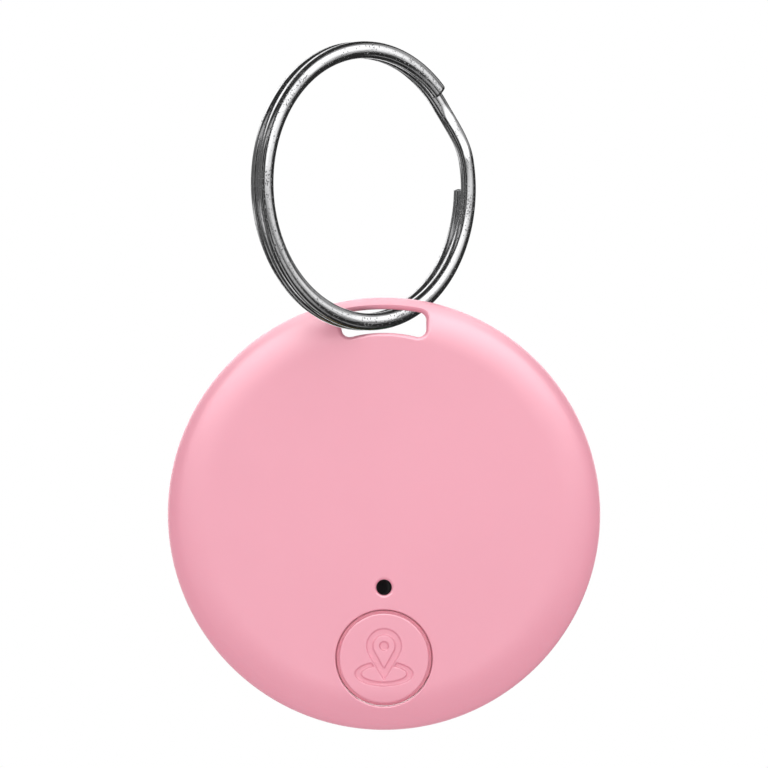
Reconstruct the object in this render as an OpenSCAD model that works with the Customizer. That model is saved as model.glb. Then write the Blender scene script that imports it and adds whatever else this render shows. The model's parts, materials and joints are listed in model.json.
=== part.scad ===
// Round bluetooth tracker tag with a lanyard bar, a press button and a split key ring.
// Millimetres. The tag stands upright: +Z is up, the button face looks along -Y, and
// the origin is the centre of the flat rear face.
// Every piece of the tag is drawn lying on its back, with h = height above the rear
// face, and upright() stands it up, so that h runs along -Y.

/* [Body] */
// Outer diameter of the tag
tag_d = 37.5; // [37.2:0.1:38]
// Thickness from the rear face to the front face
tag_t = 8.8; // [8.8:0.1:9.2]
// Radius of the flat part of the front face
flat_r = 15.1; // [14.8:0.1:15.1]
// Slope of the bevel around the front face, in degrees
bevel_angle = 24; // [22:1:24]
// Thickness of the front wall
front_wall = 1.2; // [1:0.1:1.3]

/* [Lanyard bar] */
// Half width of the slot under the bar
slot_half_w = 3.66; // [3.5:0.02:3.8]
// Height of the bar between the slot and the rim
bar_h = 1.04; // [0.9:0.02:1.1]
// Depth of the bar's rear face behind the front face
bar_back = 2.4; // [2.3:0.05:2.5]
// Distance from the tag's axis to the lowest edge of the slot
slot_floor = 15.3; // [15.2:0.02:15.35]

/* [Button] */
// Distance from the tag's axis down to the button's axis
button_drop = 12.43; // [12.2:0.01:12.5]
// Diameter of the button cap
button_d = 7.75; // [7.5:0.05:8]
// Gap between the cap and its hole
button_gap = 0.31; // [0.2:0.01:0.4]

/* [Light window] */
// Distance from the tag's axis down to the window's axis
window_drop = 6.32; // [6:0.02:6.6]
// Diameter of the window
window_d = 1.33; // [1.2:0.01:1.5]

/* [Rear cover] */
// Diameter of the battery cover
cover_d = 28.4; // [28:0.1:28.5]
// Thickness of the cover's floor
cover_floor = 1.1; // [0.9:0.1:1.2]

/* [Battery] */
// Diameter of the coin cell
cell_d = 20; // [20:0.1:20.2]
// Thickness of the coin cell
cell_t = 3.2; // [3.1:0.05:3.2]

/* [Split ring] */
// Outside diameter of the ring
ring_d = 25; // [24.9:0.05:25.1]
// Width of the wire across the ring's face
wire_w = 1.5; // [1.4:0.05:1.5]
// Thickness of one coil along the ring's axis
wire_t = 0.88; // [0.8:0.02:0.9]
// Turn of the ring about the vertical, in degrees
ring_yaw = 42; // [41:0.5:43]

/* [Hidden] */
$fn = 96;
eps = 0.01;

// Colours
pink = [0.957, 0.678, 0.741];
soft_black = [0.05, 0.05, 0.055];
board_green = [0.05, 0.27, 0.16];
gold = [0.83, 0.65, 0.30];
brass = [0.78, 0.62, 0.33];
steel = [0.72, 0.73, 0.75];
ceramic_white = [0.90, 0.89, 0.86];
chip_black = [0.09, 0.09, 0.10];

// Outer shape of the tag, as (radius, h)
tag_r = tag_d / 2;
blend_r = 6;
rim_r = 1.9;
rear_flat_r = 15.2;
blend_end = [flat_r + blend_r * sin(bevel_angle), tag_t - blend_r * (1 - cos(bevel_angle))];
rim_centre_r = tag_r - rim_r;
rim_start_r = rim_centre_r + rim_r * sin(bevel_angle);
rim_h = blend_end[1] - (rim_start_r - blend_end[0]) * tan(bevel_angle)
        - rim_r * cos(bevel_angle);
bevel_w = tag_r - rear_flat_r;

// Heights above the rear face
ceiling_h = tag_t - front_wall;
pad_t = 0.23;
cell_h = cover_floor + 0.25;
cell_top_h = cell_h + cell_t;
board_h = cell_top_h + 0.4;
board_t = 0.8;
board_top_h = board_h + board_t;
bar_back_h = tag_t - bar_back;

// Chamber
cover_seat_r = cover_d / 2 + 0.1;
cover_seat_h = 2.6;
chamber_wide_h = 4.4;
chamber_r = 16.9;
chamber_top_y = 14.2;
slot_block_half_w = 5.9;

// Slot, and the recess behind the bar
slot_top_r = tag_r - bar_h;
slot_bump_r = 11.65;
slot_bump_y = 15.66;
slot_corner_r = 0.7;
mouth_chamfer = 0.45;
bar_chamfer = 0.55;
mouth_y = 16.5;
mouth_h = 8.63;
mouth_tilt = 16;
recess_half_w = 4.9;
recess_y = 15.1;
recess_corner_r = 1.2;

// Rear cover's skirt, the sealing ring in its groove, and the nail notch in both rims
skirt_r = 12.7;
seal_r = 13.9;
seal_section_r = 0.35;
seal_h = 1.8;
groove_fit = 0.02;
notch_y = -cover_seat_r - 0.4;
shell_notch_r = 1.7;
shell_notch_depth = 0.8;
cover_notch_r = 1.2;
cover_notch_depth = 0.5;

// Button, its stem and the switch below it
button_hole_r = button_d / 2 + button_gap;
button_bottom_h = 7.15;
button_flange_t = 0.35;
button_flange_r = 4.75;
flange_below_axis = 1.6;
stem_r = 0.9;
stem_bottom_h = board_top_h + 1.23;
glyph_depth = 0.2;
collar_gap = 0.07;
collar_drop = 0.42;
switch_w = 3;
switch_h = 0.65;
well_r = 1.1;
well_h = board_top_h + 0.15;
dome_r = 1.05;
dome_rise = 0.25;
dome_t = 0.05;
plunger_flange_r = 0.9;
plunger_r = 0.55;

// Light window
window_flange_r = 1.3;
window_flange_t = 0.25;
window_recess = 0.4;
window_mouth_w = 0.23;
window_bottom_h = 6.55;
window_fit = 0.01;

// Board and what it carries
board_r = 14;
stake_places = [[11.2, 6.4], [-11.2, 6.4], [9.6, -9.4], [-9.6, -9.4]];
stake_r = 0.55;
boss_r = 1.05;
stake_head_r = 0.85;
holder_r = 12.3;
holder_bore_r = 10.2;
holder_h = 1.9;
resistor_places = [[-8.6, -6.0, 0], [-8.6, -7.2, 0], [4.4, -1.6, 90], [5.6, -1.6, 90], [-1.6, -8.3, 90]];
capacitor_places = [[-7.2, 4.4, 90], [-7.2, 1.6, 90], [0.6, -1.0, 0], [-2.8, -1.4, 0], [6.8, 4.4, 90],
                    [3.6, 6.6, 0], [1.9, -8.3, 90]];
pad_places = [for (i = [0:4]) [-10.2, -4 + 1.6 * i]];

// Buzzer
buzzer_y = 3.2;
buzzer_r = 7.5;
buzzer_t = 0.15;
ceramic_r = 5.5;
ceramic_t = 0.12;
glue_t = 0.2;
plate_h = ceiling_h - glue_t - buzzer_t;
wire_r = 0.2;
joint_r = 0.4;

// Split ring: two coils of flat wire, joined by a step between two angles
ring_r = ring_d / 2;
ring_x = -1.64;
ring_y = -7.98;
ring_z = 28.36;
coil_gap = 0.04;
coil_offset = (wire_t + coil_gap) / 2;
wire_bevel = 0.22;
front_end_angle = 45;
step_start = 12;
step_end = 38;

// Stands a piece up: h, drawn along +Z, then runs along -Y
module upright() {
    rotate([90, 0, 0]) children();
}

function arc_point(c, r, a) = [c[0] + r * sin(a), c[1] + r * cos(a)];

// The tag's solid outer shape, with a flat front, a sloping bevel, a rounded rim and
// a long curve in to the rear face
module tag_outside() {
    steps = 6;
    front_blend = [for (i = [0:steps])
        arc_point([flat_r, tag_t - blend_r], blend_r, bevel_angle * i / steps)];
    rim = [for (i = [0:steps])
        arc_point([rim_centre_r, rim_h], rim_r, bevel_angle + (90 - bevel_angle) * i / steps)];
    rear_curve = [for (i = [1:2 * steps])
        [rear_flat_r + bevel_w * cos(45 * i / steps), rim_h * (1 - sin(45 * i / steps))]];
    rotate_extrude() polygon(concat([[0, tag_t]], front_blend, rim, rear_curve, [[0, 0]]));
}

// The see-through slot's outline, with its floor raised in the middle
module slot_outline(grow = 0) {
    offset(r = slot_corner_r + grow) offset(delta = -slot_corner_r) difference() {
        intersection() {
            circle(r = slot_top_r);
            translate([-slot_half_w, slot_floor]) square([2 * slot_half_w, 4]);
        }
        translate([0, slot_bump_y - slot_bump_r]) circle(r = slot_bump_r);
    }
}

// The slot, with a mouth that opens along the sloping front, and with the bar's lower
// edge taken off at the rear
module slot() {
    translate([0, 0, 1]) linear_extrude(tag_t) slot_outline();
    intersection() {
        hull() {
            translate([0, 0, bar_back_h + bar_chamfer]) linear_extrude(eps) slot_outline();
            translate([0, 0, bar_back_h - eps]) linear_extrude(eps) slot_outline(bar_chamfer);
        }
        translate([-slot_half_w, mouth_y, 0]) cube([2 * slot_half_w, 4, tag_t]);
    }
    translate([0, mouth_y, mouth_h]) rotate([-mouth_tilt, 0, 0]) hull() {
        translate([0, -mouth_y, -mouth_chamfer]) linear_extrude(eps) slot_outline();
        translate([0, -mouth_y, mouth_chamfer]) linear_extrude(eps) slot_outline(2 * mouth_chamfer);
    }
}

// The recess behind the bar, open at the top, that the ring swings through
module bar_recess() {
    translate([0, 0, -1]) linear_extrude(bar_back_h + 1) hull() {
        for (x = [-1, 1])
            translate([x * (recess_half_w - recess_corner_r), recess_y + recess_corner_r])
                circle(r = recess_corner_r, $fn = 24);
        translate([-recess_half_w, tag_r]) square([2 * recess_half_w, 1]);
    }
}

// The hollow inside the shell, closed off behind the slot
module chamber() {
    difference() {
        rotate_extrude() polygon([
            [0, -1], [cover_seat_r, -1], [cover_seat_r, cover_seat_h], [chamber_r, chamber_wide_h],
            [chamber_r, ceiling_h - 1.1], [15.4, ceiling_h], [0, ceiling_h]
        ]);
        translate([-slot_block_half_w, chamber_top_y, cover_seat_h])
            cube([2 * slot_block_half_w, 6, 6]);
    }
}

// Four bosses that the board rests on, with the stakes that hold it
module board_stakes() {
    for (p = stake_places) translate([p[0], p[1], 0]) {
        translate([0, 0, board_top_h]) cylinder(r = boss_r, h = ceiling_h - board_top_h + eps, $fn = 32);
        translate([0, 0, board_h - 0.2]) cylinder(r = stake_r, h = board_t + 0.3, $fn = 32);
        translate([0, 0, board_h - 0.25]) cylinder(r = stake_head_r, h = 0.25, $fn = 32);
    }
}

// Hole for the light window, with a mouth that widens to the front face
module window_hole() {
    hole_r = window_d / 2 + window_fit;
    translate([0, 0, 6]) cylinder(r = hole_r, h = tag_t, $fn = 48);
    translate([0, 0, tag_t - window_mouth_w])
        cylinder(r1 = hole_r, r2 = hole_r + window_mouth_w + eps, h = window_mouth_w + eps, $fn = 48);
}

module front_shell() {
    color(pink) upright() difference() {
        union() {
            difference() {
                tag_outside();
                chamber();
            }
            board_stakes();
        }
        slot();
        bar_recess();
        translate([0, -button_drop, 6.2]) cylinder(r = button_hole_r, h = tag_t);
        translate([0, -window_drop, 0]) window_hole();
        translate([0, notch_y, -1]) cylinder(r = shell_notch_r, h = shell_notch_depth + 1, $fn = 48);
    }
}

// Battery cover: a disc with a skirt and a groove for its sealing ring
module rear_cover() {
    color(pink) upright() difference() {
        union() {
            cylinder(r = cover_d / 2, h = cover_floor);
            difference() {
                cylinder(r = cover_d / 2, h = cover_seat_h - 0.1);
                cylinder(r = skirt_r, h = cover_seat_h);
            }
        }
        translate([0, 0, seal_h - seal_section_r - groove_fit]) difference() {
            cylinder(r = cover_d, h = 2 * (seal_section_r + groove_fit));
            translate([0, 0, -1]) cylinder(r = seal_r - seal_section_r - groove_fit, h = 3);
        }
        translate([0, notch_y, -1]) cylinder(r = cover_notch_r, h = cover_notch_depth + 1, $fn = 48);
    }
}

module sealing_ring() {
    color(soft_black) upright() translate([0, 0, seal_h])
        rotate_extrude() translate([seal_r, 0]) circle(r = seal_section_r, $fn = 32);
}

module cover_pad() {
    color(soft_black) upright() translate([0, 0, cover_floor]) cylinder(r = 6, h = pad_t);
}

// The pictogram cut into the cap: a location pin standing in an oval
module button_glyph() {
    pin_r = 1.5;
    pin_y = 1.05;
    pin_tip = 1.75;
    difference() {
        pin_outline(pin_r, pin_y, pin_tip);
        pin_outline(pin_r - 0.55, pin_y, pin_tip - 1.0);
    }
    translate([0, pin_y]) circle(r = 0.38, $fn = 24);
    difference() {
        translate([0, -1.35]) scale([1, 0.42]) circle(r = 2.5, $fn = 64);
        translate([0, -1.35]) scale([1, 0.36]) circle(r = 1.95, $fn = 64);
        pin_outline(pin_r + 0.2, pin_y, pin_tip + 0.25);
    }
}

module pin_outline(r, y, tip) {
    hull() {
        translate([0, y]) circle(r = r, $fn = 48);
        translate([0, -tip]) circle(r = 0.08, $fn = 12);
    }
}

// A round body with the tag's own outer shape on top, set down by a drop
module button_body(r, drop) {
    intersection() {
        translate([0, 0, -drop]) tag_outside();
        translate([0, -button_drop, button_bottom_h]) cylinder(r = r, h = tag_t);
    }
}

// Button cap, with a collar that makes the groove around it shallow, a flange under the
// shell and a stem that meets the switch
module button_cap() {
    color(pink) upright() difference() {
        union() {
            button_body(button_d / 2, 0);
            button_body(button_hole_r - collar_gap, collar_drop);
            intersection() {
                translate([0, -button_drop, button_bottom_h])
                    cylinder(r = button_flange_r, h = button_flange_t);
                translate([-10, -button_drop - flange_below_axis, 0]) cube([20, 10, tag_t]);
            }
            translate([0, -button_drop, stem_bottom_h])
                cylinder(r = stem_r, h = button_bottom_h - stem_bottom_h + 0.1, $fn = 48);
        }
        translate([0, -button_drop, tag_t - glyph_depth]) linear_extrude(1) button_glyph();
    }
}

// Smoked window over the status light, with a flange under the shell
module light_window() {
    color(soft_black) upright() translate([0, -window_drop, 0]) {
        translate([0, 0, window_bottom_h])
            cylinder(d = window_d, h = tag_t - window_recess - window_bottom_h, $fn = 48);
        translate([0, 0, ceiling_h - window_flange_t])
            cylinder(r = window_flange_r, h = window_flange_t, $fn = 48);
    }
}

module circuit_board() {
    color(board_green) upright() difference() {
        translate([0, 0, board_h]) cylinder(r = board_r, h = board_t);
        for (p = stake_places)
            translate([p[0], p[1], board_h - 1]) cylinder(r = stake_r + 0.03, h = 3, $fn = 32);
    }
}

// Plastic ring behind the board that centres the cell, with a window for the contact
module board_holder() {
    color(soft_black) upright() difference() {
        translate([0, 0, holder_h]) cylinder(r = holder_r, h = board_h - holder_h);
        translate([0, 0, holder_h - 1]) cylinder(r = holder_bore_r, h = 6);
        translate([9, -2.6, 0]) cube([5, 5.2, 8]);
        for (p = stake_places)
            translate([p[0], p[1], board_h - 0.3]) cylinder(r = stake_head_r + 0.1, h = 1, $fn = 32);
    }
}

// A chip-sized block standing on the board, with a low foot of another width
module block_on_board(x, y, turn, size, foot = 0) {
    translate([x, y, board_top_h]) rotate([0, 0, turn]) {
        translate([-size[0] / 2, -size[1] / 2, foot]) cube([size[0], size[1], size[2] - foot]);
        if (foot > 0)
            translate([-size[0] / 2 + foot, -size[1] / 2 + foot, 0])
                cube([size[0] - 2 * foot, size[1] - 2 * foot, foot + eps]);
    }
}

module radio_chip() {
    color(chip_black) upright() block_on_board(-3.2, 2.6, 0, [5, 5, 0.85], 0.1);
}

module crystal() {
    color(steel) upright() {
        block_on_board(3.0, 3.6, 0, [3.2, 2.5, 0.7], 0.1);
        block_on_board(3.0, 0.9, 0, [2.0, 1.2, 0.5], 0.08);
    }
}

module status_led() {
    color(ceramic_white) upright() {
        block_on_board(0, -window_drop, 0, [1.6, 0.8, 0.3]);
        translate([-0.5, -window_drop - 0.4, board_top_h + 0.3]) cube([1, 0.8, 0.3]);
    }
}

module chip_resistors() {
    color(chip_black) upright()
        for (p = resistor_places) block_on_board(p[0], p[1], p[2], [1, 0.5, 0.35], 0.05);
}

module chip_capacitors() {
    color([0.62, 0.47, 0.33]) upright()
        for (p = capacitor_places) block_on_board(p[0], p[1], p[2], [1, 0.5, 0.5], 0.05);
}

module chip_inductor() {
    color([0.25, 0.25, 0.27]) upright() block_on_board(-5.2, -4.2, 0, [2, 1.6, 1], 0.1);
}

// Folded antenna printed along the top of the board, as one copper strip
module antenna_trace() {
    strip = 0.4;
    runs = 7;
    pitch = 1.2;
    low = 9.6;
    high = 12.2;
    start = -pitch * (runs - 1) / 2;
    color(gold) upright() translate([0, 0, board_top_h]) linear_extrude(0.04) {
        for (i = [0:runs - 1]) {
            x = start + pitch * i;
            translate([x - strip / 2, low]) square([strip, high - low]);
            if (i < runs - 1)
                translate([x - strip / 2, i % 2 == 0 ? high - strip : low])
                    square([pitch + strip, strip]);
        }
        translate([start - strip / 2, 7.2]) square([strip, low - 7.1]);
    }
}

module test_pads() {
    color(gold) upright()
        for (p = pad_places) translate([p[0], p[1], board_top_h]) cylinder(r = 0.5, h = 0.04, $fn = 32);
}

module switch_base() {
    color(soft_black) upright() difference() {
        translate([-switch_w / 2, -button_drop - switch_w / 2, board_top_h])
            cube([switch_w, switch_w, switch_h]);
        translate([0, -button_drop, well_h]) cylinder(r = well_r, h = 2, $fn = 48);
    }
}

// Snap dome: a slice of a thin spherical shell
module switch_dome() {
    curve = (dome_r * dome_r + dome_rise * dome_rise) / (2 * dome_rise);
    color(steel) upright() translate([0, -button_drop, well_h]) intersection() {
        translate([0, 0, dome_rise - curve]) difference() {
            sphere(r = curve);
            sphere(r = curve - dome_t);
        }
        cylinder(r = 2, h = 1);
    }
}

module switch_plunger() {
    flange_h = well_h + dome_rise + 0.02;
    color(soft_black) upright() translate([0, -button_drop, 0]) {
        translate([0, 0, flange_h]) cylinder(r = plunger_flange_r, h = 0.14, $fn = 48);
        translate([0, 0, flange_h + 0.1])
            cylinder(r = plunger_r, h = stem_bottom_h - 0.03 - flange_h - 0.1, $fn = 48);
    }
}

module switch_plate() {
    color(steel) upright() difference() {
        translate([-switch_w / 2, -button_drop - switch_w / 2, board_top_h + switch_h])
            cube([switch_w, switch_w, 0.12]);
        translate([0, -button_drop, board_top_h]) cylinder(r = plunger_r + 0.06, h = 2, $fn = 48);
    }
}

module buzzer_plate() {
    color(brass) upright() translate([0, buzzer_y, plate_h]) cylinder(r = buzzer_r, h = buzzer_t);
}

module buzzer_ceramic() {
    color(ceramic_white) upright() translate([0, buzzer_y, plate_h - ceramic_t])
        cylinder(r = ceramic_r, h = ceramic_t);
}

module buzzer_glue_ring() {
    color(soft_black) upright() translate([0, buzzer_y, ceiling_h - glue_t]) difference() {
        cylinder(r = buzzer_r, h = glue_t);
        translate([0, 0, -1]) cylinder(r = buzzer_r - 1, h = 2);
    }
}

// Closed solid through a list of rings of points, all with the same number of points
module sweep(rings) {
    sides = len(rings[0]);
    last = len(rings) - 1;
    walls = [for (i = [0:last - 1], j = [0:sides - 1])
        let (a = i * sides + j, b = i * sides + (j + 1) % sides)
        each [[a, b, a + sides], [b, b + sides, a + sides]]];
    first_end = [for (j = [sides - 1:-1:0]) j];
    last_end = [for (j = [0:sides - 1]) last * sides + j];
    polyhedron([for (ring = rings) each ring], concat([first_end], walls, [last_end]));
}

// A short lead that rises from the board, bends over and meets the buzzer square on
module lead(from, to) {
    reach = 0.75;
    span = norm([to[0] - from[0], to[1] - from[1]]);
    along = [to[0] - from[0], to[1] - from[1]] / span;
    side = [-along[1], along[0], 0];
    rings = [for (i = [0:12])
        let (t = i / 12, run = t * t * (3 - 2 * t))
        let (rise = 3 * t * (1 - t) * ((1 - t) * reach + t * (to[2] - from[2] - reach))
                    + t * t * t * (to[2] - from[2]))
        let (run_rate = 6 * t * (1 - t) * span)
        let (rise_rate = 3 * (1 - t) * (1 - t) * reach + 3 * t * t * reach
                         + 6 * t * (1 - t) * (to[2] - from[2] - 2 * reach))
        let (speed = norm([run_rate, rise_rate]))
        let (across = [-along[0] * rise_rate, -along[1] * rise_rate, run_rate] / speed)
        let (middle = [from[0] + run * (to[0] - from[0]), from[1] + run * (to[1] - from[1]),
                       from[2] + rise])
        [for (j = [0:7]) middle + wire_r * (cos(45 * j) * side - sin(45 * j) * across)]];
    sweep(rings);
    translate(from) cylinder(r = joint_r, h = 0.2, $fn = 24);
    translate([to[0], to[1], to[2] - 0.1]) cylinder(r = joint_r, h = 0.1, $fn = 24);
}

module buzzer_wire_red() {
    color([0.75, 0.08, 0.07]) upright() lead([8.6, -3.2, board_top_h], [4.0, 0.9, plate_h - ceramic_t]);
}

module buzzer_wire_black() {
    color([0.10, 0.10, 0.11]) upright() lead([10.2, -2.0, board_top_h], [6.0, 1.2, plate_h]);
}

// Sprung steel strip, drawn as its side outline and given its width
module strip(outline, width) {
    rotate([90, 0, 0]) translate([0, 0, -width / 2]) linear_extrude(width) polygon(outline);
}

module positive_contact() {
    t = 0.15;
    touch = cell_d / 2 + 0.03;
    color(gold) upright() strip([
        [touch + 2.2, board_h], [touch + 0.5, board_h], [touch + 0.5, 3.6], [touch, 3.0],
        [touch + 0.5, 2.4], [touch + 0.5 + t, 2.45], [touch + t + 0.05, 3.0],
        [touch + 0.5 + t, 3.55], [touch + 0.5 + t, board_h - t], [touch + 2.2, board_h - t]
    ], 4);
}

module negative_contact() {
    t = 0.1;
    low = cell_top_h + 0.03;
    color(gold) upright() {
        translate([0, 0, board_h - t]) cylinder(r = 2.4, h = t, $fn = 48);
        strip([
            [1.5, board_h - t], [2.3, board_h - t], [5.6, low + t], [6.4, low + t], [6.4, low],
            [5.5, low], [2.2, board_h - 2 * t], [1.5, board_h - 2 * t]
        ], 1.8);
    }
}

// Coin cell can: a cup whose rim is crimped in over the gasket
module cell_can() {
    color(steel) upright() translate([0, 0, cell_h]) difference() {
        cylinder(r = cell_d / 2, h = cell_t - 0.2);
        translate([0, 0, 0.25]) cylinder(r = cell_d / 2 - 0.25, h = cell_t - 0.6);
        cylinder(r = 9.2, h = cell_t);
    }
    color(steel) upright() translate([0, 0, cell_h]) cylinder(r = 9.2, h = 0.25);
}

module cell_cap() {
    color(steel) upright() translate([0, 0, cell_h]) difference() {
        translate([0, 0, 0.75]) cylinder(r = 8.8, h = cell_t - 0.75);
        cylinder(r = 8.55, h = cell_t - 0.25);
    }
}

module cell_gasket() {
    color([0.85, 0.85, 0.80]) upright() translate([0, 0, cell_h + 0.5]) difference() {
        cylinder(r = 9.15, h = cell_t - 0.75);
        cylinder(r = 8.85, h = cell_t);
    }
}

module cell_pellet() {
    color([0.20, 0.20, 0.21]) upright() translate([0, 0, cell_h + 0.26])
        cylinder(r = 8.4, h = cell_t - 0.6);
}

// Cross section of the ring's wire, with bevelled corners, about the wire's own middle,
// taken in by a small amount where one stretch runs inside the end of another
function wire_section(inset = 0) = let (x = wire_w / 2 - inset, y = wire_t / 2 - inset, b = wire_bevel) [
    [x, -y + b], [x, y - b], [x - b, y], [-x + b, y], [-x, y - b], [-x, -y + b], [-x + b, -y], [x - b, -y]
];

// One coil of the ring, from one angle on for a number of degrees, at a height on the
// ring's axis
module coil(from, sweep, height) {
    translate([0, 0, height]) rotate([0, 0, from]) rotate_extrude(angle = sweep)
        translate([ring_r - wire_w / 2, 0]) polygon(wire_section());
}

// The step that carries the wire from the front coil to the rear coil. It runs level
// for a few degrees inside the end of each.
module coil_step() {
    rings = 17;
    overlap = 4;
    sweep([for (i = [0:rings - 1])
        let (a = step_start - overlap + (step_end - step_start + 2 * overlap) * i / (rings - 1))
        let (s = min(1, max(0, (a - step_start) / (step_end - step_start))))
        let (height = coil_offset * cos(180 * s))
        [for (p = wire_section(0.01))
            let (r = ring_r - wire_w / 2 + p[0])
            [r * cos(a), r * sin(a), height + p[1]]]]);
}

module split_ring() {
    color(steel) translate([ring_x, ring_y, ring_z]) rotate([90, 0, ring_yaw]) {
        coil(front_end_angle, 360 + step_start - front_end_angle, coil_offset);
        coil_step();
        coil(step_end, 360 - step_end, -coil_offset);
    }
}

split_ring();
front_shell();
rear_cover();
sealing_ring();
cover_pad();
button_cap();
light_window();
circuit_board();
board_holder();
radio_chip();
crystal();
status_led();
chip_resistors();
chip_capacitors();
chip_inductor();
antenna_trace();
test_pads();
switch_base();
switch_dome();
switch_plunger();
switch_plate();
buzzer_plate();
buzzer_ceramic();
buzzer_glue_ring();
buzzer_wire_red();
buzzer_wire_black();
positive_contact();
negative_contact();
cell_can();
cell_cap();
cell_gasket();
cell_pellet();
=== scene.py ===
"""A round key finder tag on a split ring: its moulded case, button, ring and insides."""

import json
import logging
import math
from collections.abc import Callable, Iterable, Sequence
from dataclasses import dataclass
from enum import Enum

import bmesh
import bpy
from mathutils import Matrix, Vector

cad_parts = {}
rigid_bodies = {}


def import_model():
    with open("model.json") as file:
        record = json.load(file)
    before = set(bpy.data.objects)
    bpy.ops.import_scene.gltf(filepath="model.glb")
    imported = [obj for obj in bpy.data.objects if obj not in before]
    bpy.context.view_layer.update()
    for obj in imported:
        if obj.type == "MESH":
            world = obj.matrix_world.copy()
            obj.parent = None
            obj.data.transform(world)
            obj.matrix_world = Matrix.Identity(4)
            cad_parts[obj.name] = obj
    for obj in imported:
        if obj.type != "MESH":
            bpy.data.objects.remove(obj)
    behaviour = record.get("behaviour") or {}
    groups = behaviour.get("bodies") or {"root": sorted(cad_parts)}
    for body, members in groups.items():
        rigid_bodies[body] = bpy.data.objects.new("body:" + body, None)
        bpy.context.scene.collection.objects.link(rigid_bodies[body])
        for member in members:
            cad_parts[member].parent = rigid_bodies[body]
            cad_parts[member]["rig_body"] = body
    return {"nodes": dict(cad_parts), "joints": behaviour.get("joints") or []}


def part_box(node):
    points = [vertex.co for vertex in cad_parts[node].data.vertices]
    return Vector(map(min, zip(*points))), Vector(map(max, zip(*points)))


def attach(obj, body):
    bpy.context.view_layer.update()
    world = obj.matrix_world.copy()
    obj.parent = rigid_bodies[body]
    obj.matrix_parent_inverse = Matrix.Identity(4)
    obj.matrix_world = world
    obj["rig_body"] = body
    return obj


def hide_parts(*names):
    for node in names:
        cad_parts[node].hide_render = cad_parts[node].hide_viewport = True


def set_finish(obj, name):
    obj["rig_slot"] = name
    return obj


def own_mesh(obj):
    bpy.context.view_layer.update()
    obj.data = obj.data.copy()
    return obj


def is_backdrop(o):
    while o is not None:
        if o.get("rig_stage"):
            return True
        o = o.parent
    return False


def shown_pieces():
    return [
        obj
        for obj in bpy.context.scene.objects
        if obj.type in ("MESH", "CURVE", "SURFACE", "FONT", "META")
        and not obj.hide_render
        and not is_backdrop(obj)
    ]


LOG = logging.getLogger("tag")
MM = 0.001

Node = bpy.types.Node
Socket = bpy.types.NodeSocket
Piece = bpy.types.Object
Point = tuple[float, float]

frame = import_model()


class Slot(Enum):
    """The finishes that the pieces of the tag are made in."""

    PINK = "pink_shell"
    WINDOW = "smoked_window"
    BLACK_PLASTIC = "black_plastic"
    FOAM = "black_foam"
    RUBBER = "seal_rubber"
    LAMINATE = "board_laminate"
    EPOXY = "chip_epoxy"
    STEEL = "plated_steel"
    GOLD = "gold_plate"
    BRASS = "buzzer_brass"
    CERAMIC = "white_ceramic"
    TAN_CERAMIC = "tan_ceramic"
    FERRITE = "ferrite"
    LENS = "led_lens"
    RED_LEAD = "red_lead"
    BLACK_LEAD = "black_lead"
    CHROME = "ring_chrome"
    NYLON = "gasket_nylon"
    PELLET = "cell_filling"


# ---------------------------------------------------------------- modelling by hand


def select_only(*pieces: Piece) -> None:
    """Deselects everything, then selects these pieces and makes the first one active.

    Args:
        pieces: The objects to select.
    """
    bpy.ops.object.select_all(action="DESELECT")
    for piece in pieces:
        piece.select_set(True)
    bpy.context.view_layer.objects.active = pieces[0]


def delete_piece(piece: Piece) -> None:
    """Removes a piece and its mesh.

    Args:
        piece: The object to remove.
    """
    mesh = piece.data
    bpy.data.objects.remove(piece)
    bpy.data.meshes.remove(mesh)


def close_up(piece: Piece) -> None:
    """Merges the doubled points of a piece and turns its faces outwards.

    Args:
        piece: A closed mesh, in millimetres.
    """
    select_only(piece)
    bpy.ops.object.mode_set(mode="EDIT")
    bpy.ops.mesh.select_all(action="SELECT")
    bpy.ops.mesh.remove_doubles(threshold=1e-4)
    bpy.ops.mesh.normals_make_consistent(inside=False)
    bpy.ops.object.mode_set(mode="OBJECT")


def cut(piece: Piece, *tools: Piece, keep_tools: bool = False) -> None:
    """Takes the tools' shapes out of a piece.

    Args:
        piece: The closed mesh that is cut.
        tools: The closed meshes that are taken away, in order.
        keep_tools: Whether the tools stay, to be used again.
    """
    combine(piece, "DIFFERENCE", tools, keep_tools)


def join(piece: Piece, *others: Piece) -> None:
    """Makes the other closed meshes part of a piece.

    Args:
        piece: The closed mesh that grows.
        others: The closed meshes that it takes up.
    """
    combine(piece, "UNION", others, False)


def combine(piece: Piece, operation: str, tools: Iterable[Piece], keep_tools: bool) -> None:
    """Applies one boolean modifier for each tool.

    Args:
        piece: The closed mesh that changes.
        operation: DIFFERENCE, UNION or INTERSECT.
        tools: The closed meshes that are combined with it.
        keep_tools: Whether the tools stay.
    """
    for tool in tools:
        select_only(piece)
        modifier = piece.modifiers.new("combine", "BOOLEAN")
        modifier.operation = operation
        modifier.object = tool
        modifier.solver = "MANIFOLD"
        before = len(piece.data.vertices)
        bpy.ops.object.modifier_apply(modifier=modifier.name)
        if len(piece.data.vertices) == before:
            LOG.warning("%s: %s changed nothing", piece.name, tool.name)
        if not keep_tools:
            delete_piece(tool)


def smooth(piece: Piece, angle: float = 32.0, weighted: bool = True) -> None:
    """Shades a piece smooth, with sharp edges kept past an angle.

    Args:
        piece: The finished mesh.
        angle: The angle in degrees past which an edge stays sharp.
        weighted: Whether large faces hold their own normals.
    """
    select_only(piece)
    bpy.ops.object.shade_smooth_by_angle(angle=math.radians(angle), keep_sharp_edges=False)
    if weighted:
        modifier = piece.modifiers.new("weighted", "WEIGHTED_NORMAL")
        modifier.keep_sharp = True
        modifier.weight = 80
        bpy.ops.object.modifier_apply(modifier=modifier.name)


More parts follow.
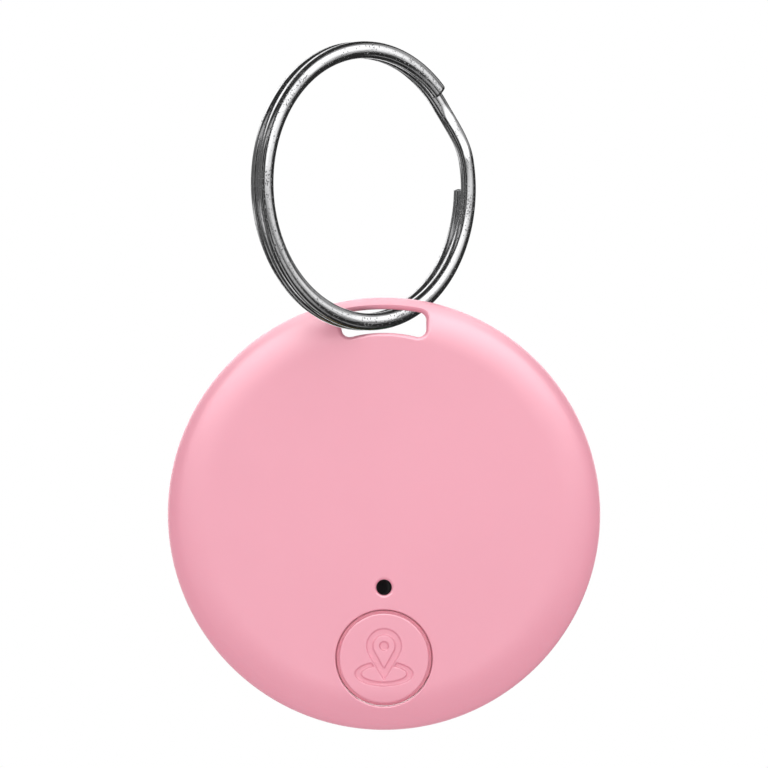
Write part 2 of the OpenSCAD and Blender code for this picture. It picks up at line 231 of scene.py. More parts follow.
def stand_up(piece: Piece) -> None:
    """Stands a piece up that was drawn lying on its back in millimetres.

    Args:
        piece: The mesh, whose height then runs towards the front of the tag.
    """
    select_only(piece)
    piece.rotation_euler = (math.radians(90), 0, 0)
    piece.scale = (MM, MM, MM)
    bpy.ops.object.transform_apply(location=True, rotation=True, scale=True)


class Pen:
    """Draws an outline as a chain of edges, then turns it on a lathe or gives it a height.

    Args:
        name: The name of the piece that the outline becomes.
        x: The start across, or from the axis.
        z: The start in height.
        flat: Whether the second coordinate is y, for an outline seen from above.
    """

    def __init__(self, name: str, x: float, z: float, flat: bool = False) -> None:
        """Starts the outline at its first point."""
        self.flat = flat
        self.at = (x, z)
        bpy.ops.object.select_all(action="DESELECT")
        bpy.ops.mesh.primitive_plane_add(size=0.01, location=(0, 0, 0))
        self.piece = bpy.context.object
        self.piece.name = name
        self.piece.data.name = name
        bpy.ops.object.mode_set(mode="EDIT")
        bpy.ops.mesh.select_all(action="SELECT")
        bpy.ops.mesh.merge(type="CENTER")
        bpy.ops.transform.translate(value=self.place(x, z))

    def place(self, x: float, z: float) -> tuple[float, float, float]:
        """Returns an outline point in space."""
        return (x, z, 0.0) if self.flat else (x, 0.0, z)

    def line(self, *points: Point) -> "Pen":
        """Draws straight strokes.

        Args:
            points: The end of each stroke.

        Returns:
            The pen itself.
        """
        for x, z in points:
            move = self.place(x - self.at[0], z - self.at[1])
            bpy.ops.mesh.extrude_vertices_move(TRANSFORM_OT_translate={"value": move})
            self.at = (x, z)
        return self

    def arc(self, centre: Point, turn: float, steps: int) -> "Pen":
        """Draws an arc round a centre from where the pen stands.

        Args:
            centre: The middle of the arc.
            turn: The turn in degrees, positive to the left.
            steps: The number of strokes.

        Returns:
            The pen itself.
        """
        dx = self.at[0] - centre[0]
        dz = self.at[1] - centre[1]
        points = []
        for i in range(1, steps + 1):
            a = math.radians(turn * i / steps)
            points.append((
                centre[0] + dx * math.cos(a) - dz * math.sin(a),
                centre[1] + dx * math.sin(a) + dz * math.cos(a),
            ))
        return self.line(*points)

    def lathe(self, steps: int) -> Piece:
        """Spins the outline a full turn about the height axis.

        Args:
            steps: The number of facets.

        Returns:
            The closed piece.
        """
        bpy.ops.mesh.select_all(action="SELECT")
        bpy.ops.mesh.spin(steps=steps, angle=math.tau, center=(0, 0, 0), axis=(0, 0, 1))
        bpy.ops.object.mode_set(mode="OBJECT")
        close_up(self.piece)
        return self.piece

    def prism(self, height: float) -> Piece:
        """Fills a flat outline and extrudes it.

        Args:
            height: The height of the prism above the outline.

        Returns:
            The closed piece.
        """
        bpy.ops.mesh.select_all(action="SELECT")
        bpy.ops.mesh.remove_doubles(threshold=1e-4)
        bpy.ops.mesh.edge_face_add()
        bpy.ops.mesh.extrude_region_move(TRANSFORM_OT_translate={"value": (0, 0, height)})
        bpy.ops.object.mode_set(mode="OBJECT")
        close_up(self.piece)
        return self.piece


def lift(piece: Piece, x: float = 0.0, y: float = 0.0, h: float = 0.0) -> Piece:
    """Moves a piece's mesh.

    Args:
        piece: The piece, in millimetres.
        x: The move across.
        y: The move up the tag.
        h: The move in height above the rear face.

    Returns:
        The piece.
    """
    piece.data.transform(Matrix.Translation((x, y, h)))
    return piece


def drum(name: str, r: float, low: float, high: float, steps: int = 96, soft: float = 0.0) -> Piece:
    """Turns a plain drum about the height axis, with rounded rims.

    Args:
        name: The name of the piece.
        r: The radius.
        low: The height of its lower face.
        high: The height of its upper face.
        steps: The number of facets.
        soft: The radius of its rims.

    Returns:
        The closed piece.
    """
    pen = Pen(name, 0, low)
    if soft <= 0:
        return pen.line((r, low), (r, high), (0, high)).lathe(steps)
    pen.line((r - soft, low)).arc((r - soft, low + soft), 90, 5)
    pen.line((r, high - soft)).arc((r - soft, high - soft), 90, 5)
    return pen.line((0, high)).lathe(steps)


def block(
    name: str,
    low: Sequence[float],
    high: Sequence[float],
    soft: float = 0.0,
    steps: int = 3,
) -> Piece:
    """Makes a rectangular block with rounded edges.

    Args:
        name: The name of the piece.
        low: Its lowest corner.
        high: Its highest corner.
        soft: The radius of its edges.
        steps: The number of facets across an edge.

    Returns:
        The closed piece.
    """
    bpy.ops.object.select_all(action="DESELECT")
    middle = [(a + b) / 2 for a, b in zip(low, high)]
    bpy.ops.mesh.primitive_cube_add(size=1, location=middle)
    piece = bpy.context.object
    piece.name = name
    piece.data.name = name
    piece.scale = [b - a for a, b in zip(low, high)]
    bpy.ops.object.transform_apply(location=True, rotation=True, scale=True)
    if soft > 0:
        modifier = piece.modifiers.new("soft", "BEVEL")
        modifier.width = soft
        modifier.segments = steps
        bpy.ops.object.modifier_apply(modifier=modifier.name)
    return piece


def loft(name: str, rings: Sequence[Sequence[Vector]], closed: bool) -> Piece:
    """Makes a closed skin through rings of points.

    Args:
        name: The name of the piece.
        rings: The rings, all with the same number of points.
        closed: Whether the last ring joins the first. Otherwise both ends are capped.

    Returns:
        The closed piece.
    """
    mesh = bpy.data.meshes.new(name)
    bm = bmesh.new()
    rows = [[bm.verts.new(p) for p in ring] for ring in rings]
    pairs = list(zip(rows, rows[1:]))
    if closed:
        pairs.append((rows[-1], rows[0]))
    for row, following in pairs:
        for j in range(len(row)):
            k = (j + 1) % len(row)
            bm.faces.new((row[j], row[k], following[k], following[j]))
    if not closed:
        bm.faces.new(rows[0])
        bm.faces.new(rows[-1])
    bmesh.ops.recalc_face_normals(bm, faces=bm.faces)
    bm.to_mesh(mesh)
    bm.free()
    piece = bpy.data.objects.new(name, mesh)
    bpy.context.scene.collection.objects.link(piece)
    return piece


def rounding_tool(
    name: str,
    edge: Sequence[tuple[Vector, Vector, Vector]],
    radius: float,
    closed: bool = True,
    steps: int = 6,
) -> Piece:
    """Makes the cutter that rounds an outer edge over.

    Args:
        name: The name of the cutter.
        edge: For each place along the edge, the point, the wall's normal and the face's normal.
        radius: The radius that the edge gets.
        closed: Whether the edge runs round to its start.
        steps: The number of facets across the rounding.

    Returns:
        The cutter, a closed skin that follows the edge.
    """
    rings = []
    proud = 0.15
    for point, wall, face in edge:
        middle = point - (wall + face) * (radius / (1 + wall.dot(face)))
        turn = wall.angle(face)
        section = []
        for i in range(steps + 1):
            t = i / steps
            way = (wall * math.sin((1 - t) * turn) + face * math.sin(t * turn)) / math.sin(turn)
            section.append(middle + way * radius)
        section.append(section[-1] + face * proud)
        section.append(point + (wall + face) * proud)
        section.append(section[0] + wall * proud)
        rings.append(section)
    return loft(name, rings, closed)


# ---------------------------------------------------------------- finishes


class Wiring:
    """Adds nodes to a node tree and joins their sockets.

    Args:
        tree: The node tree to work in.
    """

    def __init__(self, tree: bpy.types.NodeTree) -> None:
        """Keeps the tree to work in."""
        self.tree = tree

    def node(self, kind: str, **values: object) -> Node:
        """Adds a node and sets its own properties.

        Args:
            kind: The node's type, without the ShaderNode prefix.
            values: The properties to set.

        Returns:
            The node.
        """
        made = self.tree.nodes.new("ShaderNode" + kind)
        for name, value in values.items():
            setattr(made, name, value)
        return made

    def feed(self, value: object, target: Socket) -> None:
        """Joins a socket to another, or sets a plain value on it.

        Args:
            value: The socket or the number to put in.
            target: The input socket.
        """
        if isinstance(value, bpy.types.NodeSocket):
            self.tree.links.new(value, target)
        else:
            target.default_value = value

    def math(self, operation: str, a: object, b: object = 0.0, clamp: bool = False) -> Socket:
        """Adds a Math node.

        Args:
            operation: The name of the operation.
            a: The first number or socket.
            b: The second number or socket.
            clamp: Whether the result stays between 0 and 1.

        Returns:
            The result.
        """
        made = self.node("Math", operation=operation, use_clamp=clamp)
        self.feed(a, made.inputs[0])
        self.feed(b, made.inputs[1])
        return made.outputs[0]

    def ramp(self, value: object, low: float, high: float, to_low: float, to_high: float) -> Socket:
        """Maps a range of values smoothly onto another.

        Args:
            value: The number or socket to map.
            low: The start of the range.
            high: The end of the range.
            to_low: The result at the start.
            to_high: The result at the end.

        Returns:
            The result.
        """
        made = self.node("MapRange", interpolation_type="SMOOTHSTEP")
        self.feed(value, made.inputs["Value"])
        made.inputs["From Min"].default_value = low
        made.inputs["From Max"].default_value = high
        made.inputs["To Min"].default_value = to_low
        made.inputs["To Max"].default_value = to_high
        return made.outputs["Result"]

    def blend(self, mask: Socket, a: Sequence[float], b: Sequence[float]) -> Socket:
        """Mixes two colours by a mask and returns the result."""
        made = self.node("Mix", data_type="RGBA")
        self.feed(mask, made.inputs["Factor"])
        self.feed((*a, 1.0), made.inputs[6])
        self.feed((*b, 1.0), made.inputs[7])
        return made.outputs[2]


def mould_grain() -> bpy.types.NodeTree:
    """Builds the grain of a moulded or printed surface.

    Returns:
        A group with the inputs Place, Grain and Drift in repeats per metre, and the outputs
        Tone, a slow cloud from 0 to 1, and Height, the fine grain from 0 to 1.
    """
    tree = bpy.data.node_groups.new("MouldGrain", "ShaderNodeTree")
    tree.interface.new_socket("Place", in_out="INPUT", socket_type="NodeSocketVector")
    tree.interface.new_socket("Grain", in_out="INPUT", socket_type="NodeSocketFloat")
    tree.interface.new_socket("Drift", in_out="INPUT", socket_type="NodeSocketFloat")
    tree.interface.new_socket("Tone", in_out="OUTPUT", socket_type="NodeSocketFloat")
    tree.interface.new_socket("Height", in_out="OUTPUT", socket_type="NodeSocketFloat")
    wiring = Wiring(tree)
    into = tree.nodes.new("NodeGroupInput")
    out = tree.nodes.new("NodeGroupOutput")
    cloud = wiring.node("TexNoise")
    wiring.feed(into.outputs["Place"], cloud.inputs["Vector"])
    wiring.feed(into.outputs["Drift"], cloud.inputs["Scale"])
    cloud.inputs["Detail"].default_value = 3.0
    wiring.feed(cloud.outputs["Fac"], out.inputs["Tone"])
    fine = wiring.node("TexNoise")
    wiring.feed(into.outputs["Place"], fine.inputs["Vector"])
    wiring.feed(into.outputs["Grain"], fine.inputs["Scale"])
    fine.inputs["Detail"].default_value = 4.0
    fine.inputs["Roughness"].default_value = 0.62
    wiring.feed(fine.outputs["Fac"], out.inputs["Height"])
    return tree


def metal_streaks() -> bpy.types.NodeTree:
    """Builds the drawn streaks and small pits of plated metal.

    Returns:
        A group with the inputs Along, a place whose x runs along the metal, Streak in repeats
        per metre, and Pit in repeats per metre. Its outputs are Tone, Height and Pits, all
        from 0 to 1.
    """
    tree = bpy.data.node_groups.new("MetalStreaks", "ShaderNodeTree")
    tree.interface.new_socket("Along", in_out="INPUT", socket_type="NodeSocketVector")
    tree.interface.new_socket("Streak", in_out="INPUT", socket_type="NodeSocketFloat")
    tree.interface.new_socket("Pit", in_out="INPUT", socket_type="NodeSocketFloat")
    tree.interface.new_socket("Tone", in_out="OUTPUT", socket_type="NodeSocketFloat")
    tree.interface.new_socket("Height", in_out="OUTPUT", socket_type="NodeSocketFloat")
    tree.interface.new_socket("Pits", in_out="OUTPUT", socket_type="NodeSocketFloat")
    wiring = Wiring(tree)
    into = tree.nodes.new("NodeGroupInput")
    out = tree.nodes.new("NodeGroupOutput")
    stretch = wiring.node("Mapping")
    stretch.inputs["Scale"].default_value = (0.09, 1.0, 1.0)
    wiring.feed(into.outputs["Along"], stretch.inputs["Vector"])
    streak = wiring.node("TexNoise")
    wiring.feed(stretch.outputs["Vector"], streak.inputs["Vector"])
    wiring.feed(into.outputs["Streak"], streak.inputs["Scale"])
    streak.inputs["Detail"].default_value = 5.0
    streak.inputs["Roughness"].default_value = 0.65
    wiring.feed(streak.outputs["Fac"], out.inputs["Height"])
    cloud = wiring.node("TexNoise")
    wiring.feed(into.outputs["Along"], cloud.inputs["Vector"])
    wiring.feed(wiring.math("MULTIPLY", into.outputs["Streak"], 0.12), cloud.inputs["Scale"])
    wiring.feed(cloud.outputs["Fac"], out.inputs["Tone"])
    speck = wiring.node("TexNoise")
    wiring.feed(into.outputs["Along"], speck.inputs["Vector"])
    wiring.feed(into.outputs["Pit"], speck.inputs["Scale"])
    speck.inputs["Detail"].default_value = 2.0
    where = wiring.ramp(cloud.outputs["Fac"], 0.42, 0.62, 0.08, 0.0)
    sharp = wiring.math("SUBTRACT", speck.outputs["Fac"], where)
    wiring.feed(wiring.ramp(sharp, 0.56, 0.66, 0.0, 1.0), out.inputs["Pits"])
    return tree


Rgb = tuple[float, float, float]


@dataclass(frozen=True)
class MouldedFinish:
    """A moulded, printed or pressed surface with a fine grain.

    Attributes:
        light: The colour where the cloud is lightest.
        dark: The colour where it is darkest.
        rough: The roughness in the middle of its range.
        rough_drift: How far the roughness moves each way.
        grain: The grain's repeats per metre.
        drift: The cloud's repeats per metre.
        depth: The grain's depth in metres.
        coat: The weight of a clear coat.
        sheen: The weight of a soft sheen.
        under: How much light spreads below the surface.
    """

    light: Rgb
    dark: Rgb
    rough: float
    rough_drift: float = 0.04
    grain: float = 9000.0
    drift: float = 90.0
    depth: float = 4e-6
    coat: float = 0.0
    sheen: float = 0.0
    under: float = 0.0

    def build(self, name: str, grain: bpy.types.NodeTree) -> bpy.types.Material:
        """Makes the material.

        Args:
            name: The material's name.
            grain: The MouldGrain group.

        Returns:
            The material.
        """
        material = bpy.data.materials.new(name)
        material.use_nodes = True
        wiring = Wiring(material.node_tree)
        shader = material.node_tree.nodes["Principled BSDF"]
        place = wiring.node("TexCoord")
        group = wiring.node("Group")
        group.node_tree = grain
        wiring.feed(place.outputs["Object"], group.inputs["Place"])
        group.inputs["Grain"].default_value = self.grain
        group.inputs["Drift"].default_value = self.drift
        tone = wiring.ramp(group.outputs["Tone"], 0.3, 0.7, 0.0, 1.0)
        wiring.feed(wiring.blend(tone, self.dark, self.light), shader.inputs["Base Color"])
        low = self.rough - self.rough_drift
        high = self.rough + self.rough_drift
        wiring.feed(wiring.ramp(group.outputs["Height"], 0.3, 0.7, low, high), shader.inputs["Roughness"])
        bump = wiring.node("Bump")
        bump.inputs["Distance"].default_value = self.depth
        bump.inputs["Strength"].default_value = 1.0
        wiring.feed(group.outputs["Height"], bump.inputs["Height"])
        wiring.feed(bump.outputs["Normal"], shader.inputs["Normal"])
        shader.inputs["Coat Weight"].default_value = self.coat
        shader.inputs["Coat Roughness"].default_value = 0.12
        shader.inputs["Sheen Weight"].default_value = self.sheen
        if self.under > 0:
            shader.inputs["Subsurface Weight"].default_value = self.under
            shader.inputs["Subsurface Radius"].default_value = (1.0, 0.45, 0.5)
            shader.inputs["Subsurface Scale"].default_value = 0.0006
        return material


@dataclass(frozen=True)
class PlatedFinish:
    """A plated metal with drawn streaks and small pits.

    Attributes:
        bright: The colour of the open metal.
        dull: The colour in the pits and the duller clouds.
        rough: The roughness of the open metal.
        pit_rough: The roughness in the pits.
        streak: The streaks' repeats per metre.
        pit: The pits' repeats per metre.
        depth: The depth of streaks and pits in metres.
        attribute: The mesh attribute whose x runs along the metal, or nothing for the place.
    """

    bright: Rgb
    dull: Rgb
    rough: float
    pit_rough: float
    streak: float = 4000.0
    pit: float = 3500.0
    depth: float = 6e-6
    attribute: str = ""

    def build(self, name: str, streaks: bpy.types.NodeTree) -> bpy.types.Material:
        """Makes the material.

        Args:
            name: The material's name.
            streaks: The MetalStreaks group.

        Returns:
            The material.
        """
        material = bpy.data.materials.new(name)
        material.use_nodes = True
        wiring = Wiring(material.node_tree)
        shader = material.node_tree.nodes["Principled BSDF"]
        if self.attribute:
            along = wiring.node("Attribute", attribute_name=self.attribute).outputs["Vector"]
        else:
            along = wiring.node("TexCoord").outputs["Object"]
        group = wiring.node("Group")
        group.node_tree = streaks
        wiring.feed(along, group.inputs["Along"])
        group.inputs["Streak"].default_value = self.streak
        group.inputs["Pit"].default_value = self.pit
        pits = group.outputs["Pits"]
        dulling = wiring.math("MAXIMUM", pits, wiring.ramp(group.outputs["Tone"], 0.45, 0.8, 0.0, 0.6))
        wiring.feed(wiring.blend(dulling, self.bright, self.dull), shader.inputs["Base Color"])
        wiring.feed(wiring.ramp(dulling, 0.0, 1.0, self.rough, self.pit_rough), shader.inputs["Roughness"])
        height = wiring.math("SUBTRACT", group.outputs["Height"], pits)
        bump = wiring.node("Bump")
        bump.inputs["Distance"].default_value = self.depth
        wiring.feed(height, bump.inputs["Height"])
        wiring.feed(bump.outputs["Normal"], shader.inputs["Normal"])
        shader.inputs["Metallic"].default_value = 1.0
        return material


FINISHES: dict[Slot, MouldedFinish | PlatedFinish] = {
    Slot.PINK: MouldedFinish(
        (0.832, 0.330, 0.422), (0.814, 0.320, 0.411), 0.44, 0.03, 7000.0, 70.0, 2.5e-6, under=0.10,
    ),
    Slot.WINDOW: MouldedFinish(
        (0.012, 0.011, 0.012), (0.008, 0.008, 0.009), 0.12, 0.03, depth=1e-6, coat=0.6,
    ),
    Slot.BLACK_PLASTIC: MouldedFinish((0.030, 0.030, 0.033), (0.020, 0.020, 0.022), 0.5, 0.08, 6000.0),
    Slot.FOAM: MouldedFinish(
        (0.045, 0.045, 0.048), (0.012, 0.012, 0.013), 0.92, 0.05, 3000.0, depth=6e-5, sheen=0.3,
    ),
    Slot.RUBBER: MouldedFinish((0.024, 0.024, 0.026), (0.014, 0.014, 0.015), 0.62, 0.06, 8000.0, sheen=0.15),
    Slot.LAMINATE: MouldedFinish((0.012, 0.130, 0.062), (0.007, 0.085, 0.040), 0.34, 0.06, 5000.0, coat=0.3),
    Slot.EPOXY: MouldedFinish((0.036, 0.036, 0.040), (0.022, 0.022, 0.025), 0.58, 0.06, 9000.0),
    Slot.STEEL: PlatedFinish((0.78, 0.79, 0.81), (0.62, 0.63, 0.65), 0.30, 0.40),
    Slot.GOLD: PlatedFinish((0.90, 0.66, 0.27), (0.68, 0.46, 0.17), 0.24, 0.42),
    Slot.BRASS: PlatedFinish((0.80, 0.60, 0.26), (0.58, 0.40, 0.15), 0.30, 0.48),
    Slot.CERAMIC: MouldedFinish((0.84, 0.83, 0.79), (0.76, 0.75, 0.71), 0.55, 0.05, 7000.0),
    Slot.TAN_CERAMIC: MouldedFinish((0.40, 0.27, 0.16), (0.32, 0.21, 0.12), 0.5, 0.06, 9000.0),
    Slot.FERRITE: MouldedFinish((0.060, 0.060, 0.066), (0.038, 0.038, 0.042), 0.6, 0.08, 7000.0),
    Slot.LENS: MouldedFinish((0.86, 0.85, 0.74), (0.80, 0.79, 0.66), 0.2, 0.03, coat=0.5, under=0.2),
    Slot.RED_LEAD: MouldedFinish((0.62, 0.020, 0.016), (0.48, 0.014, 0.012), 0.42, 0.05),
    Slot.BLACK_LEAD: MouldedFinish((0.026, 0.026, 0.029), (0.016, 0.016, 0.018), 0.42, 0.05),
    Slot.CHROME: PlatedFinish(
        (0.90, 0.90, 0.91), (0.55, 0.55, 0.56), 0.10, 0.26, 2600.0, 5200.0, 1.2e-5, "wire",
    ),
    Slot.NYLON: MouldedFinish((0.78, 0.77, 0.69), (0.70, 0.69, 0.61), 0.46, 0.05, under=0.15),
    Slot.PELLET: MouldedFinish((0.045, 0.045, 0.048), (0.025, 0.025, 0.027), 0.8, 0.08, 4000.0),
}


class Paints:
    """Makes each finish once and puts it on the pieces."""

    def __init__(self) -> None:
        """Builds the two node groups that the finishes share."""
        self.grain = mould_grain()
        self.streaks = metal_streaks()
        self.made: dict[Slot, bpy.types.Material] = {}

    def of(self, slot: Slot) -> bpy.types.Material:
        """Returns the material of a finish, made the first time it is asked for."""
        if slot not in self.made:
            finish = FINISHES[slot]
            group = self.streaks if isinstance(finish, PlatedFinish) else self.grain
            self.made[slot] = finish.build(slot.value, group)
        return self.made[slot]

    def dress(self, piece: Piece, slot: Slot) -> None:
        """Puts one finish all over a piece.

        Args:
            piece: The piece.
            slot: Its finish.
        """
        piece.data.materials.clear()
        piece.data.materials.append(self.of(slot))


# ---------------------------------------------------------------- the tag's outer form


@dataclass(frozen=True)
class TagForm:
    """The outer form of the tag, lying on its back, in millimetres.

    Attributes:
        diameter: The diameter at the rim.
        thickness: The height of the front face above the rear face.
        flat_r: The radius of the flat part of the front.
        bevel_angle: The slope of the bevel in degrees.
        blend_r: The radius between the flat and the bevel.
        rim_r: The radius of the rim.
        rear_flat_r: The radius of the flat rear face.
        wall: The thickness of the front wall.
    """

    diameter: float
    thickness: float
    flat_r: float = 15.1
    bevel_angle: float = 24.0
    blend_r: float = 6.0
    rim_r: float = 1.9
    rear_flat_r: float = 15.2
    wall: float = 1.2

    @property
    def slope(self) -> float:
        """The slope of the bevel in radians."""
        return math.radians(self.bevel_angle)

    @property
    def blend_end(self) -> Point:
        """Where the blend meets the bevel, as a radius and a height."""
        r = self.flat_r + self.blend_r * math.sin(self.slope)
        return (r, self.thickness - self.blend_r * (1 - math.cos(self.slope)))

    @property
    def rim_centre(self) -> Point:
        """The middle of the rim's rounding, as a radius and a height."""
        r = self.diameter / 2 - self.rim_r
        fall = (r + self.rim_r * math.sin(self.slope) - self.blend_end[0]) * math.tan(self.slope)
        return (r, self.blend_end[1] - fall - self.rim_r * math.cos(self.slope))

    def front(self, r: float) -> tuple[float, float]:
        """Gives the front surface at a distance from the axis.

        Args:
            r: The distance from the tag's axis.

        Returns:
            The height there, and the angle in radians by which the surface leans outwards.
        """
        centre = self.rim_centre
        if r <= self.flat_r:
            return self.thickness, 0.0
        if r <= self.blend_end[0]:
            lean = math.asin((r - self.flat_r) / self.blend_r)
            return self.thickness - self.blend_r * (1 - math.cos(lean)), lean
        if r <= centre[0] + self.rim_r * math.sin(self.slope):
            return self.blend_end[1] - (r - self.blend_end[0]) * math.tan(self.slope), self.slope
        lean = math.asin(min(1.0, (r - centre[0]) / self.rim_r))
        return centre[1] + self.rim_r * math.cos(lean), lean

    def front_edge(self, x: float, y: float, wall: Vector) -> tuple[Vector, Vector, Vector]:
        """Gives the point and the two normals where an upright wall meets the front.

        Args:
            x: The point's place across.
            y: The point's place up the tag.
            wall: The wall's normal.

        Returns:
            The point, the wall's normal and the front's normal.
        """
        r = math.hypot(x, y)
        height, lean = self.front(r)
        face = Vector((x / r * math.sin(lean), y / r * math.sin(lean), math.cos(lean)))
        return Vector((x, y, height)), wall, face

    def solid(self, steps: int = 288) -> Piece:
        """Turns the whole outer form as one solid.

        Args:
            steps: The number of facets round the tag.

        Returns:
            The closed piece.
        """
        centre = self.rim_centre
        pen = Pen("front_shell", 0, self.thickness)
        pen.line((self.flat_r, self.thickness))
        pen.arc((self.flat_r, self.thickness - self.blend_r), -self.bevel_angle, 16)
        rim_start_r = centre[0] + self.rim_r * math.sin(self.slope)
        rim_start_h = centre[1] + self.rim_r * math.cos(self.slope)
        pen.line((rim_start_r, rim_start_h))
        pen.arc(centre, self.bevel_angle - 90, 14)
        reach = self.diameter / 2 - self.rear_flat_r
        turns = 20
        for i in range(1, turns + 1):
            a = math.radians(90 * i / turns)
            pen.line((self.rear_flat_r + reach * math.cos(a), centre[1] * (1 - math.sin(a))))
        return pen.line((0, 0)).lathe(steps)


# ---------------------------------------------------------------- front shell


@dataclass
class FrontShell:
    """The moulded front shell with its lanyard bar, slot, holes and chamber.

    Attributes:
        form: The tag's outer form.
        button: The button's place and sizes.
        paints: The finishes.
    """

    form: TagForm
    button: "Button"
    paints: Paints
    slot_half_w: float = 3.66
    bar_h: float = 1.04
    slot_bump_y: float = 15.66
    slot_bump_r: float = 11.65
    slot_corner_r: float = 0.7
    slot_corner_y: float = 16.0
    mouth_r: float = 0.42
    bar_back_h: float = 6.4
    recess_half_w: float = 4.9
    recess_y: float = 15.1
    recess_corner_r: float = 1.2
    bar_edge_r: float = 0.55
    seat_r: float = 14.3
    seat_h: float = 2.6
    chamber_r: float = 16.9
    chamber_wide_h: float = 4.4
    block_half_w: float = 5.9
    block_y: float = 14.2
    window_y: float = -6.32
    window_r: float = 0.675
    window_mouth: float = 0.23
    notch_y: float = -14.7
    notch_r: float = 1.7
    notch_depth: float = 0.8
    notch_edge_r: float = 0.3
    button_edge_r: float = 0.13
    chamber_step_r: float = 15.4
    chamber_step_h: float = 1.1
    boss_r: float = 1.05
    stake_r: float = 0.55
    stake_head_r: float = 0.85
    stake_head_h: float = 0.23
    stakes: tuple[Point, ...] = ((11.2, 6.4), (-11.2, 6.4), (9.6, -9.4), (-9.6, -9.4))
    board_low: float = 4.95
    board_high: float = 5.75

    def slot_line(self) -> list[tuple[float, float, Vector]]:
        """Walks round the slot's outline.

        Returns:
            For each point, its place across and up, and the normal that points into the slot.
        """
        top_r = self.form.diameter / 2 - self.bar_h
        corner = self.slot_corner_r
        cx = self.slot_half_w - corner
        points = []

        def arc(x: float, y: float, r: float, start: float, end: float, steps: int, inwards: int) -> None:
            """Adds an arc of points, from one angle to another in degrees."""
            for i in range(steps):
                a = math.radians(start + (end - start) * i / steps)
                way = Vector((math.cos(a), math.sin(a), 0))
                points.append((x + r * way.x, y + r * way.y, way * inwards))

        up_r = top_r - corner
        up_y = math.sqrt(up_r * up_r - cx * cx)
        lean = math.degrees(math.atan2(cx, up_y))
        bump_c = self.slot_bump_y - self.slot_bump_r
        rise = math.degrees(math.atan2(cx, self.slot_corner_y - bump_c))
        arc(0, 0, top_r, 90 - lean, 90 + lean, 26, -1)
        arc(-cx, up_y, corner, 90 + lean, 180, 8, -1)
        arc(-cx, self.slot_corner_y, corner, 180, 270 + rise, 10, -1)
        arc(0, bump_c, self.slot_bump_r, 90 + rise, 90 - rise, 24, 1)
        arc(cx, self.slot_corner_y, corner, -90 - rise, 0, 10, -1)
        arc(cx, up_y, corner, 0, 90 - lean, 8, -1)
        return points

    def slot(self) -> Piece:
        """Makes the prism that opens the slot."""
        line = self.slot_line()
        pen = Pen("slot", line[0][0], line[0][1], flat=True)
        pen.line(*[(x, y) for x, y, _ in line[1:]], (line[0][0], line[0][1]))
        return lift(pen.prism(self.form.thickness), h=1)

    def mouth(self) -> Piece:
        """Makes the cutter that rounds the slot's mouth."""
        edge = [self.form.front_edge(x, y, normal) for x, y, normal in self.slot_line()]
        return rounding_tool("mouth", edge, self.mouth_r, steps=8)

    def recess_line(self) -> list[tuple[float, float, Vector]]:
        """Walks along the recess's outline from its right end at the rim to its left end."""
        corner = self.recess_corner_r
        cx = self.recess_half_w - corner
        cy = self.recess_y + corner
        top = self.form.diameter / 2 + 0.5
        points = []
        points.append((self.recess_half_w, top, Vector((-1, 0, 0))))
        for side, start in ((1, 0), (-1, -90)):
            for i in range(9):
                a = math.radians(start - 90 * i / 8)
                way = Vector((math.cos(a), math.sin(a), 0))
                points.append((side * cx + corner * way.x, cy + corner * way.y, -way))
        points.append((-self.recess_half_w, top, Vector((1, 0, 0))))
        return points

    def recess(self) -> Piece:
        """Makes the prism that opens the recess behind the bar."""
        line = self.recess_line()
        pen = Pen("recess", line[0][0], line[0][1], flat=True)
        pen.line(*[(x, y) for x, y, _ in line[1:]], (line[0][0], line[0][1]))
        return lift(pen.prism(self.bar_back_h + 1), h=-1)

    def bar_edge(self) -> Piece:
        """Makes the cutter that rounds the bar's lower rear edge."""
        top_r = self.form.diameter / 2 - self.bar_h
        edge = []
        for i in range(25):
            a = math.radians(90 + (i / 24 - 0.5) * 34)
            way = Vector((math.cos(a), math.sin(a), 0))
            edge.append((way * top_r + Vector((0, 0, self.bar_back_h)), -way, Vector((0, 0, -1))))
        tool = rounding_tool("bar_edge", edge, self.bar_edge_r, closed=False)
        keep = block("bar_edge_keep", (-self.slot_half_w, 16.5, 0), (self.slot_half_w, 20, 9))
        combine(tool, "INTERSECT", [keep], False)
        return tool

    def chamber(self) -> Piece:
        """Makes the hollow of the shell, held back behind the slot."""
        ceiling = self.form.thickness - self.form.wall
        pen = Pen("chamber", 0, -1)
        pen.line((self.seat_r, -1), (self.seat_r, self.seat_h), (self.chamber_r, self.chamber_wide_h))
        pen.line((self.chamber_r, ceiling - self.chamber_step_h))
        pen.line((self.chamber_step_r, ceiling), (0, ceiling))
        hollow = pen.lathe(144)
        held = block("held", (-self.block_half_w, self.block_y, self.seat_h), (self.block_half_w, 20, 9))
        cut(hollow, held)
        return hollow

    def window_hole(self) -> Piece:
        """Makes the drill for the light window, with its widening mouth."""
        top = self.form.thickness
        soft = self.window_mouth
        pen = Pen("window_hole", 0, 6)
        pen.line((self.window_r, 6), (self.window_r, top - soft))
        pen.arc((self.window_r + soft, top - soft), -90, 6)
        pen.line((self.window_r + soft, top + 1), (0, top + 1))
        return lift(pen.lathe(64), y=self.window_y)

    def button_hole(self) -> Piece:
        """Makes the drill for the button."""
        hole = drum("button_hole", self.button.hole_r, 6.2, self.form.thickness + 1, 160)
        return lift(hole, y=self.button.axis_y)

    def button_edge(self) -> Piece:
        """Makes the cutter that rounds the edge of the button's hole."""
        edge = []
        for i in range(160):
            a = math.tau * i / 160
            way = Vector((math.cos(a), math.sin(a), 0))
            x = self.button.hole_r * way.x
            y = self.button.axis_y + self.button.hole_r * way.y
            edge.append(self.form.front_edge(x, y, -way))
        return rounding_tool("button_edge", edge, self.button_edge_r, steps=5)

